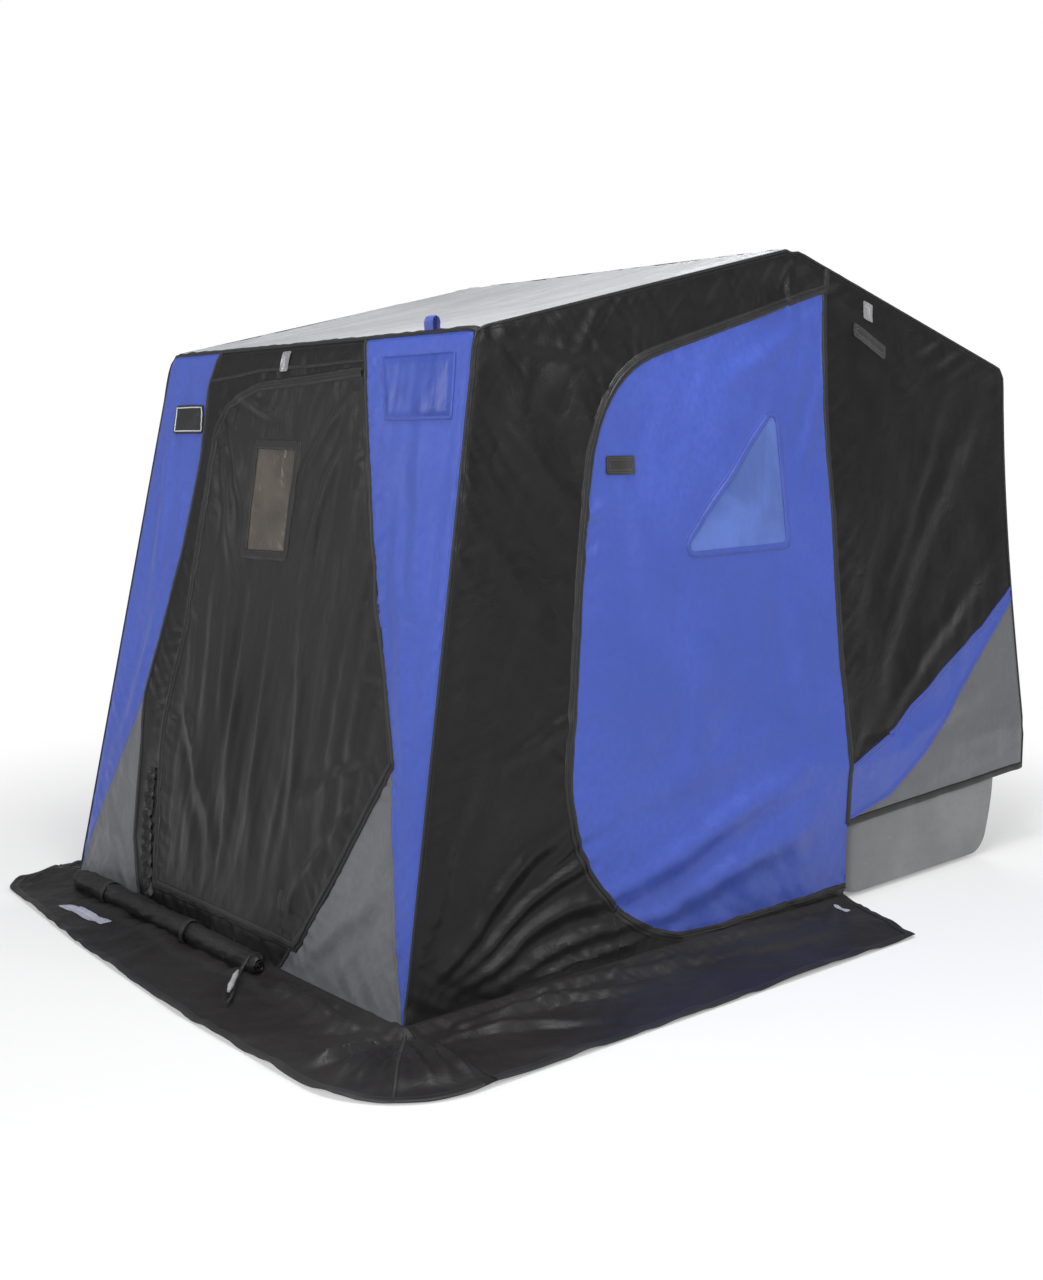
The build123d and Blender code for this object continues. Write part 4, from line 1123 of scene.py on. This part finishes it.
loop_y, loop_z = BROW[0] + 0.009, BROW[1] + 0.002
arch = [(0.590, loop_y + y, loop_z + z) for y, z in
        ((0, 0), (-0.002, 0.022), (0.003, 0.034), (0.011, 0.038), (0.019, 0.034), (0.024, 0.022),
         (0.022, 0.002))]
sew(strap("tie_down_webbing", arch, (1, 0, 0), 0.038, 0.0024, webbing),
    "front", ["tie_down_loop"])

# ---------------------------------------------------------------- ice skirt
sew(panel("front_skirt_cloth", skirt, skirt_cloth, skirt_outer, thick=0.002, step=0.010),
    "front", ["front_skirt"], "laid")
sew(ribbon("front_skirt_hem", skirt, grown(skirt_outer, -0.012)[:-1], 0.026, binding, 0.003),
    "front")
sew(ribbon("skirt_corner_seam", skirt, [(0.945, -1.252), (1.196, -1.474)], 0.012, binding, 0.0022),
    "front")
sew(patch("skirt_label", skirt, label_cloth, 0.006,
          [(-0.632, -1.430), (-0.375, -1.412), (-0.370, -1.372), (-0.626, -1.390)],
          lift=0.0030, thick=0.0012, step=0.007), "front")
sew(patch("skirt_pull_tab", skirt, label_cloth, 0.006,
          [(1.004, 0.354), (1.062, 0.342), (1.066, 0.362), (1.008, 0.374)],
          lift=0.0035, thick=0.0020, step=0.005), "skirt")
for word, sign, outer in (("right", 1, spread), ("left", -1, tucked)):
    line = np.array([*outer, *foot_right[::-1]]) * (sign, 1)
    sew(panel(f"side_skirt_{word}_cloth", skirt, skirt_cloth, line, thick=0.002, step=0.010),
        "skirt", [f"side_skirt_{word}"], "laid")
    hem = np.array(outer[:-1], float)
    hem[:-2, 0] -= 0.012
    hem[-2] += (-0.012, -0.008)
    hem[-1] += (0.0, -0.012)
    sew(ribbon(f"side_skirt_{word}_hem", skirt, hem * (sign, 1), 0.026, binding, 0.003),
        "skirt")

# ---------------------------------------------------------------- rolled sill and pull
ROLL_Y, ROLL_Z = -1.281, 0.0365     # middle of the rolled cloth


def sill_roll():
    """Rolled-up cloth along the foot of the front wall, fuller at the left end."""
    count, around = 150, 28
    x = np.linspace(-0.788, 0.328, count)
    share = (x - x[0]) / (x[-1] - x[0])
    angles = np.linspace(0, 2 * np.pi, around, endpoint=False)
    xx, aa = np.meshgrid(x, angles, indexing="ij")
    ss = np.broadcast_to(share[:, None], xx.shape)
    radius = 0.031 - 0.006 * ss
    radius = radius * (1 + 0.10 * noise(xx / 0.10, 3 * np.sin(aa), 141)
                       + 0.09 * noise(xx / 0.045 + 1.5 * aa, np.cos(aa) * 2, 142)
                       + 0.07 * crease(xx / 0.06 - aa * 0.8, np.cos(aa) * 1.5, 143))
    radius *= 1 - 0.35 * np.exp(-np.minimum(ss, 1 - ss) / 0.006)
    radius += 0.004 * np.exp(-((aa - 0.9 - 0.15 * noise(xx / 0.3, 0.0, 144)) / 0.16) ** 2)
    middle_y = ROLL_Y + 0.004 * noise(xx / 0.25, 0.0, 145)
    middle_z = ROLL_Z + 0.003 * noise(xx / 0.3, 1.0, 146)
    rings = np.stack([xx + 0.004 * noise(xx / 0.05, aa, 147), middle_y + radius * np.cos(aa),
                      middle_z + 1.02 * radius * np.sin(aa)], 2)
    rings[:, :, 2] = np.maximum(rings[:, :, 2], 0.006)
    spiral = ((0.72, 0.006), (0.60, -0.004), (0.42, 0.006), (0.24, -0.002))
    ends = []
    for ring, way in ((rings[0], -1), (rings[-1], 1)):
        centre = ring.mean(0)
        ends.append([centre + (ring - centre) * size + np.array((-way * sink, 0, 0))
                     for size, sink in spiral])
    rings = np.array([*ends[0][::-1], *rings, *ends[1]])
    flat = rings.reshape(-1, 3)
    faces = [f[::-1] for f in skin_faces(len(rings), around)]
    uv = np.stack([flat[:, 0], np.arctan2(flat[:, 2] - 0.036, flat[:, 1] - ROLL_Y) * 0.03], 1)
    facts = {"edge": np.full(len(flat), 0.05), "along": flat[:, 0]}
    return object_from("sill_roll_cloth", flat, faces, skirt_cloth, uv, facts, 70)


tie = [(0.296, -1.268, 0.062), (0.300, -1.300, 0.060), (0.312, -1.330, 0.036),
       (0.345, -1.362, 0.024), (0.392, -1.398, 0.022), (0.440, -1.436, 0.020),
       (0.468, -1.464, 0.019)]
sew(strap("roll_tie", tie, (0.75, 0.62, 0.2), 0.010, 0.002, binding), "front")
sew(tube("roll_tie_toggle", [(0.322, -1.346, 0.038), (0.352, -1.372, 0.037),
                             (0.398, -1.412, 0.034), (0.424, -1.434, 0.032)],
         (0.003, 0.0075, 0.0070, 0.0085, 0.004), grey_plastic, sides=14, step=0.004),
    "front")
piece = sill_roll()
sew(piece, "front", ["sill_roll"])
STRAP_ROUND = 0.0355        # radius of the straps around the roll
for i, x in enumerate((-0.56, -0.05)):
    ring = [(x + 0.003 * math.sin(3 * a), ROLL_Y + STRAP_ROUND * math.cos(a),
             max(0.008, ROLL_Z + STRAP_ROUND * math.sin(a))) for a in np.linspace(-0.6, 3.9, 30)]
    sew(strap(f"roll_strap_{i + 1}", ring, (1, 0, 0), 0.020, 0.002, binding), "front")

pull_at = front_wall.place(np.array([(0.343, 0.150)]), 0.012)[0]
pull_line = [pull_at + np.array(p) for p in
             ((0.000, 0.004, 0.086), (0.000, -0.004, 0.062), (0.003, -0.008, 0.036),
              (0.006, -0.006, 0.016))]
sew(strap("door_pull_webbing", pull_line, (1, 0.1, 0), 0.016, 0.003, binding),
    "door", ["front_door_pull"])

# ---------------------------------------------------------------- hard parts
finishes = {
    "sled_tub": sled_plastic, "sled_runners": runner_plastic, "tow_hitch": zinc,
    "hitch_bolts": bolt_steel, "pivot_brackets": zinc, "pivot_pins": bolt_steel,
    "bracket_bolts": bolt_steel,
}
for bow in ("front", "main", "rear"):
    for part in ("lower_poles", "upper_poles", "crossbar"):
        finishes[f"{bow}_{part}"] = pole_steel
    for part in ("elbows", "collars"):
        finishes[f"{bow}_{part}"] = black_plastic
    for word in ("right", "left"):
        finishes[f"{bow}_lever_{word}"] = lever_plastic
for name, material in finishes.items():
    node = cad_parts[name]
    if not node.material_slots:
        node.data.materials.append(material)
    for place in node.material_slots:
        place.material = material

# ---------------------------------------------------------------- stage and light
bpy.ops.mesh.primitive_grid_add(x_subdivisions=8, y_subdivisions=8, size=60, location=(0, 0, -0.002))
floor = bpy.context.object
floor.name = "floor"
m = Paint("floor")
distance = m.node("ShaderNodeVectorMath", {0: m.object}, operation="LENGTH").outputs["Value"]
glow = m.node("ShaderNodeEmission", {"Color": (1, 1, 1, 1), "Strength": 1.0}).outputs[0]
tone = m.mix(m.grain(0.8, 2.0), (0.86, 0.86, 0.86, 1), (0.90, 0.90, 0.90, 1))
m.finish(tone, 0.8, m.bump(m.grain(40.0), 0.02, 0.001), Specular_IOR_Level=0.1)
blend = m.node("ShaderNodeMixShader", {0: m.span(distance, 1.2, 3.4, 0.25, 1.0),
                                       1: m.shader.outputs[0], 2: glow}).outputs[0]
m.tree.links.new(blend, m.tree.nodes["Material Output"].inputs["Surface"])
floor.data.materials.append(m.material)
floor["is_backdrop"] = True

world = bpy.data.worlds.new("studio")
bpy.context.scene.world = world
world.use_nodes = True
tree = world.node_tree
tree.nodes.clear()
seen = tree.nodes.new("ShaderNodeLightPath").outputs["Is Camera Ray"]
lights = []
for colour, strength in (((0.95, 0.97, 1.0, 1), 0.26), ((1, 1, 1, 1), 1.0)):
    light = tree.nodes.new("ShaderNodeBackground")
    light.inputs["Color"].default_value = colour
    light.inputs["Strength"].default_value = strength
    lights.append(light.outputs[0])
both, out = tree.nodes.new("ShaderNodeMixShader"), tree.nodes.new("ShaderNodeOutputWorld")
for socket, source in zip(both.inputs, (seen, *lights)):
    tree.links.new(source, socket)
tree.links.new(both.outputs[0], out.inputs["Surface"])


def softbox(name, at, aim, size, power):
    data = bpy.data.lights.new(name, "AREA")
    data.shape, data.size, data.size_y, data.energy = "RECTANGLE", size[0], size[1], power
    made = bpy.data.objects.new(name, data)
    bpy.context.scene.collection.objects.link(made)
    made.location = at
    made.rotation_euler = (Vector(aim) - Vector(at)).to_track_quat("-Z", "Y").to_euler()


softbox("key", (3.2, -5.4, 3.0), (0.4, -0.3, 0.9), (1.5, 1.3), 150)
softbox("side", (5.8, 0.9, 3.6), (0.6, 0.2, 0.9), (1.8, 1.6), 105)
softbox("top", (1.3, -1.0, 5.0), (0.4, -0.2, 0.8), (1.6, 1.6), 130)
softbox("left", (-3.6, -5.8, 3.4), (-0.4, -1.0, 0.8), (1.8, 1.6), 45)
softbox("back", (-3.0, 5.2, 3.2), (0, 1.0, 1.0), (2.0, 2.0), 110)
bpy.context.scene.view_settings.view_transform = "Standard"

bpy.context.view_layer.update()
low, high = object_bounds()
